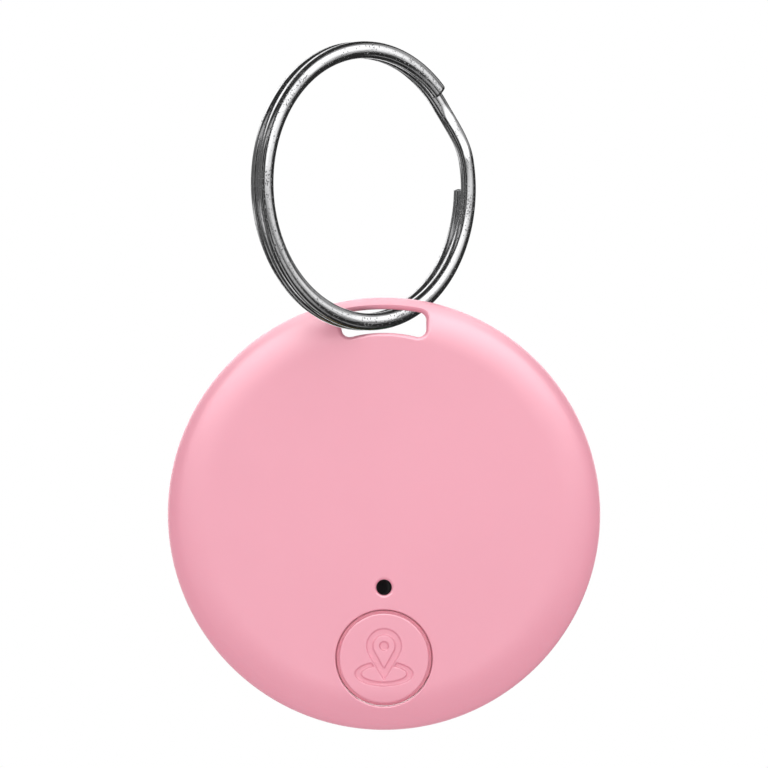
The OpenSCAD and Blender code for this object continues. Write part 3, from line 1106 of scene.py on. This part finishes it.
    def add_stakes(self, shell: Piece) -> None:
        """Adds the bosses that the board rests on, and the melted stakes that hold it.

        Args:
            shell: The hollow shell.
        """
        ceiling = self.form.thickness - self.form.wall
        for number, (x, y) in enumerate(self.stakes):
            pen = Pen(f"stake_{number}", 0, ceiling + 0.3)
            pen.line((self.boss_r, ceiling + 0.3), (self.boss_r, self.board_high))
            pen.line((self.stake_r, self.board_high), (self.stake_r, self.board_low))
            pen.line((self.stake_head_r, self.board_low))
            pen.arc((self.stake_head_r - self.stake_head_h, self.board_low), -90, 5)
            pen.line((0, self.board_low - self.stake_head_h))
            join(shell, lift(pen.lathe(32), x, y))

    def build(self) -> Piece:
        """Cuts the shell from the tag's outer form.

        Returns:
            The finished piece.
        """
        shell = self.form.solid()
        cut(shell, self.chamber())
        self.add_stakes(shell)
        cut(shell, self.recess(), self.slot(), self.mouth(), self.bar_edge())
        cut(shell, self.button_hole(), self.button_edge(), self.window_hole())
        notch = drum("notch", self.notch_r, -1, self.notch_depth, 64, self.notch_edge_r)
        cut(shell, lift(notch, y=self.notch_y))
        smooth(shell, 30)
        stand_up(shell)
        self.paints.dress(shell, Slot.PINK)
        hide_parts("front_shell")
        shell.name = "front_shell_moulded"
        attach(shell, "tag")
        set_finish(shell, Slot.PINK.value)
        return shell


# ---------------------------------------------------------------- button


@dataclass
class Button:
    """The press button, with a place pin and an oval cut into its cap.

    Attributes:
        form: The tag's outer form.
        paints: The finishes.
    """

    form: TagForm
    paints: Paints
    axis_y: float = -12.43
    cap_r: float = 3.875
    gap: float = 0.31
    edge_r: float = 0.14
    bottom_h: float = 7.15
    flange_r: float = 4.75
    flange_t: float = 0.35
    flange_below: float = 1.6
    stem_r: float = 0.9
    stem_h: float = 6.98
    cut_depth: float = 0.2
    cut_wall: float = 0.16
    collar_gap: float = 0.07
    collar_drop: float = 0.42

    @property
    def hole_r(self) -> float:
        """The radius of the hole in the shell."""
        return self.cap_r + self.gap

    @staticmethod
    def pin(x: float, y: float, r: float, y_head: float, tip: float) -> float:
        """Gives the distance outside a place pin's outline.

        Args:
            x: The place across.
            y: The place up.
            r: The radius of its head.
            y_head: The height of its head.
            tip: How far its tip lies below the middle.

        Returns:
            The distance from the outline, negative inside it.
        """
        reach = y_head + tip
        tip_r = 0.08
        lean = math.asin((r - tip_r) / reach)
        side = Vector((math.sin(lean), math.cos(lean)))
        at = Vector((y_head - y, abs(x)))
        run = at.x * side.y - at.y * side.x
        if run < 0:
            return at.length - r
        if run > reach * side.y:
            return math.hypot(at.x - reach, at.y) - tip_r
        return at.dot(side) - r

    @staticmethod
    def oval(x: float, y: float, half_w: float, half_h: float) -> float:
        """Gives roughly the distance outside an oval round the middle, negative inside it."""
        scale = math.hypot(x / half_w, y / half_h)
        slope = math.hypot(x / half_w ** 2, y / half_h ** 2)
        return (scale - 1) * scale / slope if slope > 1e-9 else -half_h

    def cut_at(self, x: float, y: float) -> float:
        """Gives the depth of the cut sign at a place on the cap.

        Args:
            x: The place across from the button's axis.
            y: The place up from the button's axis.

        Returns:
            The depth in millimetres.
        """
        pin = max(self.pin(x, y, 1.5, 1.05, 1.75), -self.pin(x, y, 0.95, 1.05, 0.75))
        dot = math.hypot(x, y - 1.05) - 0.38
        oval = max(self.oval(x, y + 1.35, 2.5, 1.05), -self.oval(x, y + 1.35, 1.95, 0.70))
        oval = max(oval, -self.pin(x, y, 1.7, 1.05, 2.0))
        outside = min(pin, dot, oval)
        t = min(1.0, max(0.0, 0.5 - outside / self.cut_wall))
        return self.cut_depth * t * t * (3 - 2 * t)

    def build(self) -> Piece:
        """Turns the cap with its stem, brings its top to the tag's form and cuts the sign.

        Returns:
            The finished piece.
        """
        top = self.form.thickness
        soft = self.edge_r
        inner_r = self.cap_r - soft
        rings = 92
        pen = Pen("button_cap_cut", 0, top)
        pen.line(*[(inner_r * i / rings, top) for i in range(1, rings + 1)])
        pen.arc((inner_r, top - soft), -90, 5)
        collar_r = self.hole_r - self.collar_gap
        collar_h = top - self.collar_drop
        pen.line((self.cap_r, collar_h), (collar_r - 0.05, collar_h), (collar_r, collar_h - 0.05))
        pen.line((collar_r, self.bottom_h + 0.06), (collar_r - 0.06, self.bottom_h))
        pen.line((self.stem_r, self.bottom_h), (self.stem_r, self.stem_h + 0.06))
        pen.line((self.stem_r - 0.06, self.stem_h), (0, self.stem_h))
        cap = pen.lathe(420)
        for vertex in cap.data.vertices:
            x, y, h = vertex.co
            fall = top - self.form.front(math.hypot(x, y + self.axis_y))[0]
            if h > collar_h - 0.06:
                vertex.co.z = h - fall
            if h > top - 1e-4:
                vertex.co.z -= self.cut_at(x, y)
        flange = drum("flange", self.flange_r, self.bottom_h, self.bottom_h + self.flange_t, 96, 0.08)
        cut(flange, block("flange_end", (-6, -6, 6), (6, -self.flange_below, 9)))
        join(cap, flange)
        lift(cap, y=self.axis_y)
        smooth(cap, 35, weighted=False)
        stand_up(cap)
        self.paints.dress(cap, Slot.PINK)
        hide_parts("button_cap")
        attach(cap, "button")
        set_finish(cap, Slot.PINK.value)
        return cap


# ---------------------------------------------------------------- light window


@dataclass
class LightWindow:
    """The smoked window over the status light, a small lens with a flange.

    Attributes:
        form: The tag's outer form.
        paints: The finishes.
    """

    form: TagForm
    paints: Paints
    axis_y: float = -6.32
    r: float = 0.665
    recess: float = 0.4
    dome: float = 0.09
    flange_r: float = 1.3
    flange_t: float = 0.25
    bottom_h: float = 6.55

    def build(self) -> Piece:
        """Turns the lens and returns it."""
        top = self.form.thickness - self.recess
        ceiling = self.form.thickness - self.form.wall
        pen = Pen("light_window_lens", 0, self.bottom_h)
        pen.line((self.r - 0.05, self.bottom_h), (self.r, self.bottom_h + 0.05))
        pen.line((self.r, ceiling - self.flange_t), (self.flange_r, ceiling - self.flange_t))
        pen.line((self.flange_r, ceiling), (self.r, ceiling), (self.r, top - self.dome))
        for i in range(1, 9):
            a = math.radians(90 * i / 8)
            pen.line((self.r * math.cos(a), top - self.dome + self.dome * math.sin(a)))
        lens = lift(pen.lathe(64), y=self.axis_y)
        smooth(lens, 40)
        stand_up(lens)
        self.paints.dress(lens, Slot.WINDOW)
        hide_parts("light_window")
        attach(lens, "tag")
        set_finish(lens, Slot.WINDOW.value)
        return lens


# ---------------------------------------------------------------- rear cover


@dataclass
class RearCover:
    """The round battery cover, with its skirt, groove and nail notch.

    Attributes:
        paints: The finishes.
    """

    paints: Paints
    r: float = 14.2
    floor: float = 1.1
    skirt_r: float = 12.7
    skirt_h: float = 2.5
    groove_r: float = 13.53
    groove_low: float = 1.43
    groove_high: float = 2.17
    edge_r: float = 0.3
    lip_r: float = 0.15
    foot_r: float = 0.25
    notch_y: float = -14.7
    notch_r: float = 1.2
    notch_depth: float = 0.5
    notch_edge_r: float = 0.25

    def build(self) -> Piece:
        """Turns the cover and cuts its notch.

        Returns:
            The finished piece.
        """
        soft = self.edge_r
        pen = Pen("rear_cover_moulded", 0, 0)
        pen.line((self.r - soft, 0)).arc((self.r - soft, soft), 90, 6)
        pen.line((self.r, self.groove_low), (self.groove_r, self.groove_low))
        pen.line((self.groove_r, self.groove_high), (self.r, self.groove_high))
        lip = self.lip_r
        lip_h = self.skirt_h - lip
        pen.line((self.r, lip_h)).arc((self.r - lip, lip_h), 90, 4)
        pen.line((self.skirt_r + lip, self.skirt_h)).arc((self.skirt_r + lip, lip_h), 90, 4)
        foot = self.foot_r
        pen.line((self.skirt_r, self.floor + foot))
        pen.arc((self.skirt_r - foot, self.floor + foot), -90, 5)
        pen.line((0, self.floor))
        cover = pen.lathe(200)
        notch = drum("cover_notch", self.notch_r, -1, self.notch_depth, 48, self.notch_edge_r)
        cut(cover, lift(notch, y=self.notch_y))
        smooth(cover, 32)
        stand_up(cover)
        self.paints.dress(cover, Slot.PINK)
        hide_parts("rear_cover")
        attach(cover, "cover")
        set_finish(cover, Slot.PINK.value)
        return cover


# ---------------------------------------------------------------- split ring


@dataclass
class SplitRing:
    """The two-coil split ring of flat, crowned wire.

    Attributes:
        paints: The finishes.
    """

    paints: Paints
    diameter: float = 25.0
    wire_w: float = 1.5
    wire_t: float = 0.88
    coil_gap: float = 0.04
    front_end: float = 45.0
    step_start: float = 12.0
    step_end: float = 38.0
    steps_per_turn: int = 240
    end_soft: float = 0.12

    def section(self) -> list[Point]:
        """Walks round the wire's section, crowned on both faces with rounded edges.

        Returns:
            The points as the place across, outwards, and the place along the ring's axis.
        """
        points = []
        count = 40
        power = 2.5
        for i in range(count):
            a = math.tau * i / count
            c = math.cos(a)
            s = math.sin(a)
            x = math.copysign(abs(c) ** (2 / power), c) * self.wire_w / 2
            z = math.copysign(abs(s) ** (2 / power), s) * self.wire_t / 2
            points.append((x, z))
        return points

    def height(self, angle: float) -> float:
        """Gives the wire's place along the ring's axis.

        Args:
            angle: The angle from the front end's own zero, in degrees, over both coils.

        Returns:
            The place in millimetres, positive towards the front coil.
        """
        offset = (self.wire_t + self.coil_gap) / 2
        t = (angle - 360 - self.step_start) / (self.step_end - self.step_start)
        return offset * math.cos(math.pi * min(1.0, max(0.0, t)))

    def build(self) -> Piece:
        """Carries the section round both coils and stands the ring on its joint.

        Returns:
            The finished piece.
        """
        joint = next(j for j in frame["joints"] if j["name"] == "ring_turn")
        axis = Vector(joint["axis"])
        centre = Vector(joint["pos_m"]) / MM
        across = Vector((0, 0, 1)).cross(axis).normalized()
        section = self.section()
        middle_r = (self.diameter - self.wire_w) / 2
        first = self.front_end
        last = 720.0
        count = round((last - first) / 360 * self.steps_per_turn)
        rings = []
        marks = []
        for i in range(-2, count + 3):
            inside = min(count, max(0, i))
            beyond = abs(i - inside)
            shrink = (1.0, 0.93, 0.72)[beyond]
            angle = first + (last - first) * inside / count
            inset = (self.end_soft, self.end_soft * 0.35, 0.0)[beyond]
            if inside == 0:
                angle += math.degrees(inset / middle_r)
            if inside == count:
                angle -= math.degrees(inset / middle_r)
            a = math.radians(angle)
            way = across * math.cos(a) + Vector((0, 0, 1)) * math.sin(a)
            place = centre + axis * self.height(angle)
            rings.append([place + way * (middle_r + x * shrink) + axis * z * shrink for x, z in section])
            marks.append([Vector((math.radians(angle) * middle_r, x, z)) * MM for x, z in section])
        ring = loft("split_ring_wire", rings, closed=False)
        wire = ring.data.attributes.new("wire", "FLOAT_VECTOR", "POINT")
        flat = [value for row in marks for mark in row for value in mark]
        wire.data.foreach_set("vector", flat)
        ring.data.transform(Matrix.Scale(MM, 4))
        smooth(ring, 50, weighted=False)
        self.paints.dress(ring, Slot.CHROME)
        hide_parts("split_ring")
        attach(ring, "ring")
        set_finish(ring, Slot.CHROME.value)
        return ring


# ---------------------------------------------------------------- studio


@dataclass(frozen=True)
class Panel:
    """A soft panel in the sky, seen in gloss only.

    Attributes:
        facing: The direction of its middle.
        half_w: Its half width in degrees.
        half_h: Its half height in degrees.
        soft: The width of its soft edge in degrees.
        power: Its brightness.
    """

    facing: tuple[float, float, float]
    half_w: float
    half_h: float
    soft: float
    power: float


@dataclass(frozen=True)
class Lamp:
    """A soft lamp that adds gloss to the plastic.

    Attributes:
        name: Its name.
        away: The direction to it from the tag's middle.
        width: Its width in metres.
        height: Its height in metres.
        watts: Its power.
    """

    name: str
    away: tuple[float, float, float]
    width: float
    height: float
    watts: float


@dataclass
class Studio:
    """The floor, the sky of soft panels, the lamps and the camera."""

    floor_drop: float = 0.060
    floor_r: float = 0.40
    floor_tone: float = 0.86
    floor_rough: float = 0.9
    camera_away: float = 0.50597
    camera_h: float = 0.01124
    lens: float = 270.0
    lamp_away: float = 0.6
    panels: tuple[Panel, ...] = (
        Panel((0.916, -0.352, 0.225), 21, 12, 14, 1.25),
        Panel((-1.0, 0.05, 0.0), 46, 40, 20, 0.08),
        Panel((-0.50, 0.55, 0.67), 24, 20, 14, 1.15),
        Panel((0.90, 0.05, 0.45), 30, 12, 14, 0.30),
        Panel((0.0, 1.0, 0.0), 14, 34, 8, 1.0),
        Panel((0.80, -0.30, -0.50), 20, 4, 5, 0.22),
        Panel((-0.2, -0.8, 0.55), 30, 7, 8, 0.35),
        Panel((-0.55, -0.83, 0.0), 5, 34, 6, 0.35),
        Panel((0.25, -0.97, 0.0), 4, 30, 6, 0.25),
        Panel((-0.55, 0.83, -0.1), 9, 34, 8, 1.0),
        Panel((0.0, -0.2, -1.0), 12, 50, 16, 0.35),
        Panel((0.80, -0.55, -0.27), 14, 9, 10, 0.4),
        Panel((-0.95, 0.25, -0.30), 22, 7, 10, 0.5),
    )
    lamps: tuple[Lamp, ...] = (
        Lamp("front_lamp", (0.0, -1.0, 0.0), 1.3, 0.5, 4.0),
        Lamp("top_lamp", (0.0, -0.66, 0.75), 1.3, 0.45, 19.0),
        Lamp("overhead_lamp", (0.0, 0.15, 1.0), 0.9, 0.7, 9.0),
        Lamp("rear_lamp", (0.0, 1.0, 0.3), 0.9, 0.5, 3.0),
    )
    metal_lamps: tuple[Lamp, ...] = (
        Lamp("metal_lamp_rear", (-0.3, 1.0, 0.5), 0.9, 0.7, 1.3),
        Lamp("metal_lamp_side", (-1.0, 0.3, 0.1), 0.5, 0.9, 0.8),
        Lamp("metal_lamp_other_side", (1.0, 0.3, 0.1), 0.5, 0.9, 0.8),
    )

    def add_lamps(self) -> None:
        """Hangs the lamps: strong ones for the plastics, weak ones for the metals inside."""
        plastics = bpy.data.collections.new("lit_by_lamps")
        metals = bpy.data.collections.new("lit_by_metal_lamps")
        metal_slots = {slot.value for slot in (Slot.STEEL, Slot.GOLD, Slot.BRASS)}
        unlit_slots = {Slot.CHROME.value, Slot.WINDOW.value}
        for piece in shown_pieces():
            slot = piece.get("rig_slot")
            if slot in metal_slots:
                metals.objects.link(piece)
            elif slot not in unlit_slots:
                plastics.objects.link(piece)
            if slot == Slot.PINK.value:
                piece.visible_glossy = False
        self.hang(self.lamps, plastics)
        self.hang(self.metal_lamps, metals)

    def hang(self, lamps: Iterable[Lamp], lit: bpy.types.Collection) -> None:
        """Hangs lamps that light only the pieces of a collection, in gloss only.

        Args:
            lamps: The lamps.
            lit: The pieces that they light.
        """
        for lamp in lamps:
            data = bpy.data.lights.new(lamp.name, "AREA")
            data.shape = "RECTANGLE"
            data.size = lamp.width
            data.size_y = lamp.height
            data.energy = lamp.watts
            away = Vector(lamp.away).normalized()
            hung = bpy.data.objects.new(lamp.name, data)
            hung.location = away * self.lamp_away
            hung.rotation_euler = away.to_track_quat("Z", "Y").to_euler()
            hung.visible_diffuse = False
            hung.visible_camera = False
            bpy.context.scene.collection.objects.link(hung)
            hung.light_linking.receiver_collection = lit

    def add_floor(self) -> None:
        """Lays a plain pale floor well below the hanging tag."""
        bpy.ops.object.select_all(action="DESELECT")
        bpy.ops.mesh.primitive_circle_add(
            vertices=96, radius=self.floor_r, fill_type="NGON", location=(0, 0, -self.floor_drop),
        )
        floor = bpy.context.object
        floor.name = "floor"
        material = bpy.data.materials.new("floor_paper")
        material.use_nodes = True
        shader = material.node_tree.nodes["Principled BSDF"]
        shader.inputs["Base Color"].default_value = (*[self.floor_tone] * 3, 1.0)
        shader.inputs["Roughness"].default_value = self.floor_rough
        floor.data.materials.append(material)
        floor.visible_glossy = False
        floor.visible_diffuse = False
        floor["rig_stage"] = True

    def add_camera(self) -> None:
        """Sets the camera square in front of the tag, level with its upper part."""
        data = bpy.data.cameras.new("camera")
        data.lens = self.lens
        data.sensor_width = 36.0
        data.clip_start = 0.05
        data.clip_end = 20.0
        camera = bpy.data.objects.new("camera", data)
        camera.location = (0, -self.camera_away, self.camera_h)
        camera.rotation_euler = (math.radians(90), 0, 0)
        bpy.context.scene.collection.objects.link(camera)
        bpy.context.scene.camera = camera

    def panel(self, wiring: Wiring, way: Socket, panel: Panel) -> Socket:
        """Adds the mask of one soft panel in the sky.

        Args:
            wiring: The sky's wiring.
            way: The direction that a ray leaves in.
            panel: The panel.

        Returns:
            A mask, 1 inside the panel.
        """
        facing = Vector(panel.facing).normalized()
        side = facing.cross(Vector((0, 0, 1)))
        side = side.normalized() if side.length > 1e-3 else Vector((1, 0, 0))
        over = side.cross(facing)
        masks = []
        depth = self.dot(wiring, way, facing)
        for axis, half in ((side, panel.half_w), (over, panel.half_h)):
            reach = self.dot(wiring, way, axis)
            turn = wiring.math("ABSOLUTE", wiring.math("ARCTAN2", reach, depth))
            low = math.radians(half - panel.soft / 2)
            high = math.radians(half + panel.soft / 2)
            masks.append(wiring.ramp(turn, low, high, 1.0, 0.0))
        return wiring.math("MULTIPLY", masks[0], masks[1])

    @staticmethod
    def dot(wiring: Wiring, way: Socket, axis: Vector) -> Socket:
        """Adds a dot product with a fixed direction and returns it."""
        made = wiring.node("VectorMath", operation="DOT_PRODUCT")
        wiring.feed(way, made.inputs[0])
        made.inputs[1].default_value = axis
        return made.outputs["Value"]

    def add_sky(self) -> None:
        """Surrounds the tag with white, with a soft light from above and panels in gloss."""
        world = bpy.data.worlds.new("studio")
        bpy.context.scene.world = world
        world.use_nodes = True
        tree = world.node_tree
        tree.nodes.clear()
        wiring = Wiring(tree)
        way = wiring.node("TexCoord").outputs["Generated"]
        rays = wiring.node("LightPath")
        up = self.dot(wiring, way, Vector((0, 0, 1)))
        soft_light = wiring.ramp(up, -1.0, 1.0, 0.97, 1.05)
        gloss: object = 0.02
        for panel in self.panels:
            mask = self.panel(wiring, way, panel)
            gloss = wiring.math("ADD", gloss, wiring.math("MULTIPLY", mask, panel.power))
        light = wiring.node("Mix", data_type="FLOAT")
        wiring.feed(rays.outputs["Is Glossy Ray"], light.inputs["Factor"])
        wiring.feed(soft_light, light.inputs[2])
        wiring.feed(gloss, light.inputs[3])
        seen = wiring.node("Mix", data_type="FLOAT")
        wiring.feed(rays.outputs["Is Camera Ray"], seen.inputs["Factor"])
        wiring.feed(light.outputs[0], seen.inputs[2])
        seen.inputs[3].default_value = 1.0
        background = wiring.node("Background")
        wiring.feed(seen.outputs[0], background.inputs["Strength"])
        background.inputs["Color"].default_value = (1, 1, 1, 1)
        output = wiring.node("OutputWorld")
        wiring.feed(background.outputs[0], output.inputs["Surface"])

    def build(self) -> None:
        """Sets up the floor, the sky, the camera and the plain colour transform."""
        self.add_floor()
        self.add_sky()
        self.add_camera()
        bpy.context.scene.view_settings.view_transform = "Standard"
        bpy.context.scene.view_settings.look = "None"


# ---------------------------------------------------------------- insides


@dataclass(frozen=True)
class Inside:
    """A hidden piece of the tag whose form is right and whose edges are softened.

    Attributes:
        node: The node that it follows.
        slot: Its finish.
        soft: The width of its softened edges in millimetres, or 0 for a round piece.
    """

    node: str
    slot: Slot
    soft: float = 0.05


INSIDES: tuple[Inside, ...] = (
    Inside("sealing_ring", Slot.RUBBER, 0),
    Inside("cover_pad", Slot.FOAM, 0.08),
    Inside("circuit_board", Slot.LAMINATE, 0.06),
    Inside("board_holder", Slot.BLACK_PLASTIC, 0.12),
    Inside("radio_chip", Slot.EPOXY, 0.06),
    Inside("crystal", Slot.STEEL, 0.06),
    Inside("status_led", Slot.LENS, 0.04),
    Inside("chip_resistors", Slot.EPOXY, 0.03),
    Inside("chip_capacitors", Slot.TAN_CERAMIC, 0.04),
    Inside("chip_inductor", Slot.FERRITE, 0.08),
    Inside("antenna_trace", Slot.GOLD, 0.012),
    Inside("test_pads", Slot.GOLD, 0.012),
    Inside("switch_base", Slot.BLACK_PLASTIC, 0.08),
    Inside("switch_plunger", Slot.BLACK_PLASTIC, 0.03),
    Inside("switch_plate", Slot.STEEL, 0.03),
    Inside("buzzer_plate", Slot.BRASS, 0.04),
    Inside("buzzer_ceramic", Slot.CERAMIC, 0.03),
    Inside("buzzer_glue_ring", Slot.BLACK_PLASTIC, 0.05),
    Inside("buzzer_wire_red", Slot.RED_LEAD, 0),
    Inside("buzzer_wire_black", Slot.BLACK_LEAD, 0),
    Inside("positive_contact", Slot.GOLD, 0.03),
    Inside("negative_contact", Slot.GOLD, 0.02),
    Inside("cell_can", Slot.STEEL, 0.12),
    Inside("cell_cap", Slot.STEEL, 0.12),
    Inside("cell_gasket", Slot.NYLON, 0.05),
    Inside("cell_pellet", Slot.PELLET, 0.1),
)


@dataclass
class Insides:
    """The pieces inside the tag.

    Attributes:
        paints: The finishes.
        dome_keep: The share of its height that the snap dome would keep when pressed; not used.
    """

    paints: Paints
    dome_keep: float = 0.06

    def soften(self, inside: Inside) -> Piece:
        """Makes a finished piece from a node, with softened edges and smooth shading.

        Args:
            inside: What to follow and how.

        Returns:
            The finished piece.
        """
        node = frame["nodes"][inside.node]
        mesh = node.data.copy()
        mesh.name = inside.node + "_finished"
        piece = bpy.data.objects.new(mesh.name, mesh)
        bpy.context.scene.collection.objects.link(piece)
        mesh.transform(Matrix.Scale(1 / MM, 4))
        select_only(piece)
        bpy.ops.object.mode_set(mode="EDIT")
        bpy.ops.mesh.select_all(action="SELECT")
        bpy.ops.mesh.remove_doubles(threshold=1e-4)
        if inside.soft > 0:
            bpy.ops.mesh.dissolve_limited(angle_limit=math.radians(0.5))
        bpy.ops.mesh.normals_make_consistent(inside=False)
        bpy.ops.object.mode_set(mode="OBJECT")
        if inside.soft > 0:
            modifier = piece.modifiers.new("soft", "BEVEL")
            modifier.width = inside.soft
            modifier.segments = 2
            modifier.limit_method = "ANGLE"
            modifier.angle_limit = math.radians(35)
            bpy.ops.object.modifier_apply(modifier=modifier.name)
        smooth(piece, 40)
        mesh.transform(Matrix.Scale(MM, 4))
        self.paints.dress(piece, inside.slot)
        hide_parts(inside.node)
        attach(piece, node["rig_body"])
        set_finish(piece, inside.slot.value)
        return piece

    def build(self) -> None:
        """Finishes every inside piece, and the snap dome, which is given a mesh of its own."""
        for inside in INSIDES:
            piece = self.soften(inside)
            LOG.info("inside: %s with %d faces", piece.name, len(piece.data.polygons))
        dome = self.soften(Inside("switch_dome", Slot.STEEL, 0))
        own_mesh(dome)


def main() -> None:
    """Builds the studio, every new piece and every finish."""
    logging.basicConfig(level=logging.INFO, format="%(message)s")
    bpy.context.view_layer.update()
    shell_low, shell_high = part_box("front_shell")
    studio = Studio()
    studio.build()
    paints = Paints()
    form = TagForm((shell_high.x - shell_low.x) / MM, (shell_high.y - shell_low.y) / MM)
    button = Button(form, paints)
    makers: tuple[tuple[str, Callable[[], Piece]], ...] = (
        ("front shell", FrontShell(form, button, paints).build),
        ("button", button.build),
        ("light window", LightWindow(form, paints).build),
        ("rear cover", RearCover(paints).build),
        ("split ring", SplitRing(paints).build),
    )
    for name, build in makers:
        piece = build()
        LOG.info("%s: %s with %d faces", name, piece.name, len(piece.data.polygons))
    Insides(paints).build()
    studio.add_lamps()


if __name__ == "__main__":
    main()
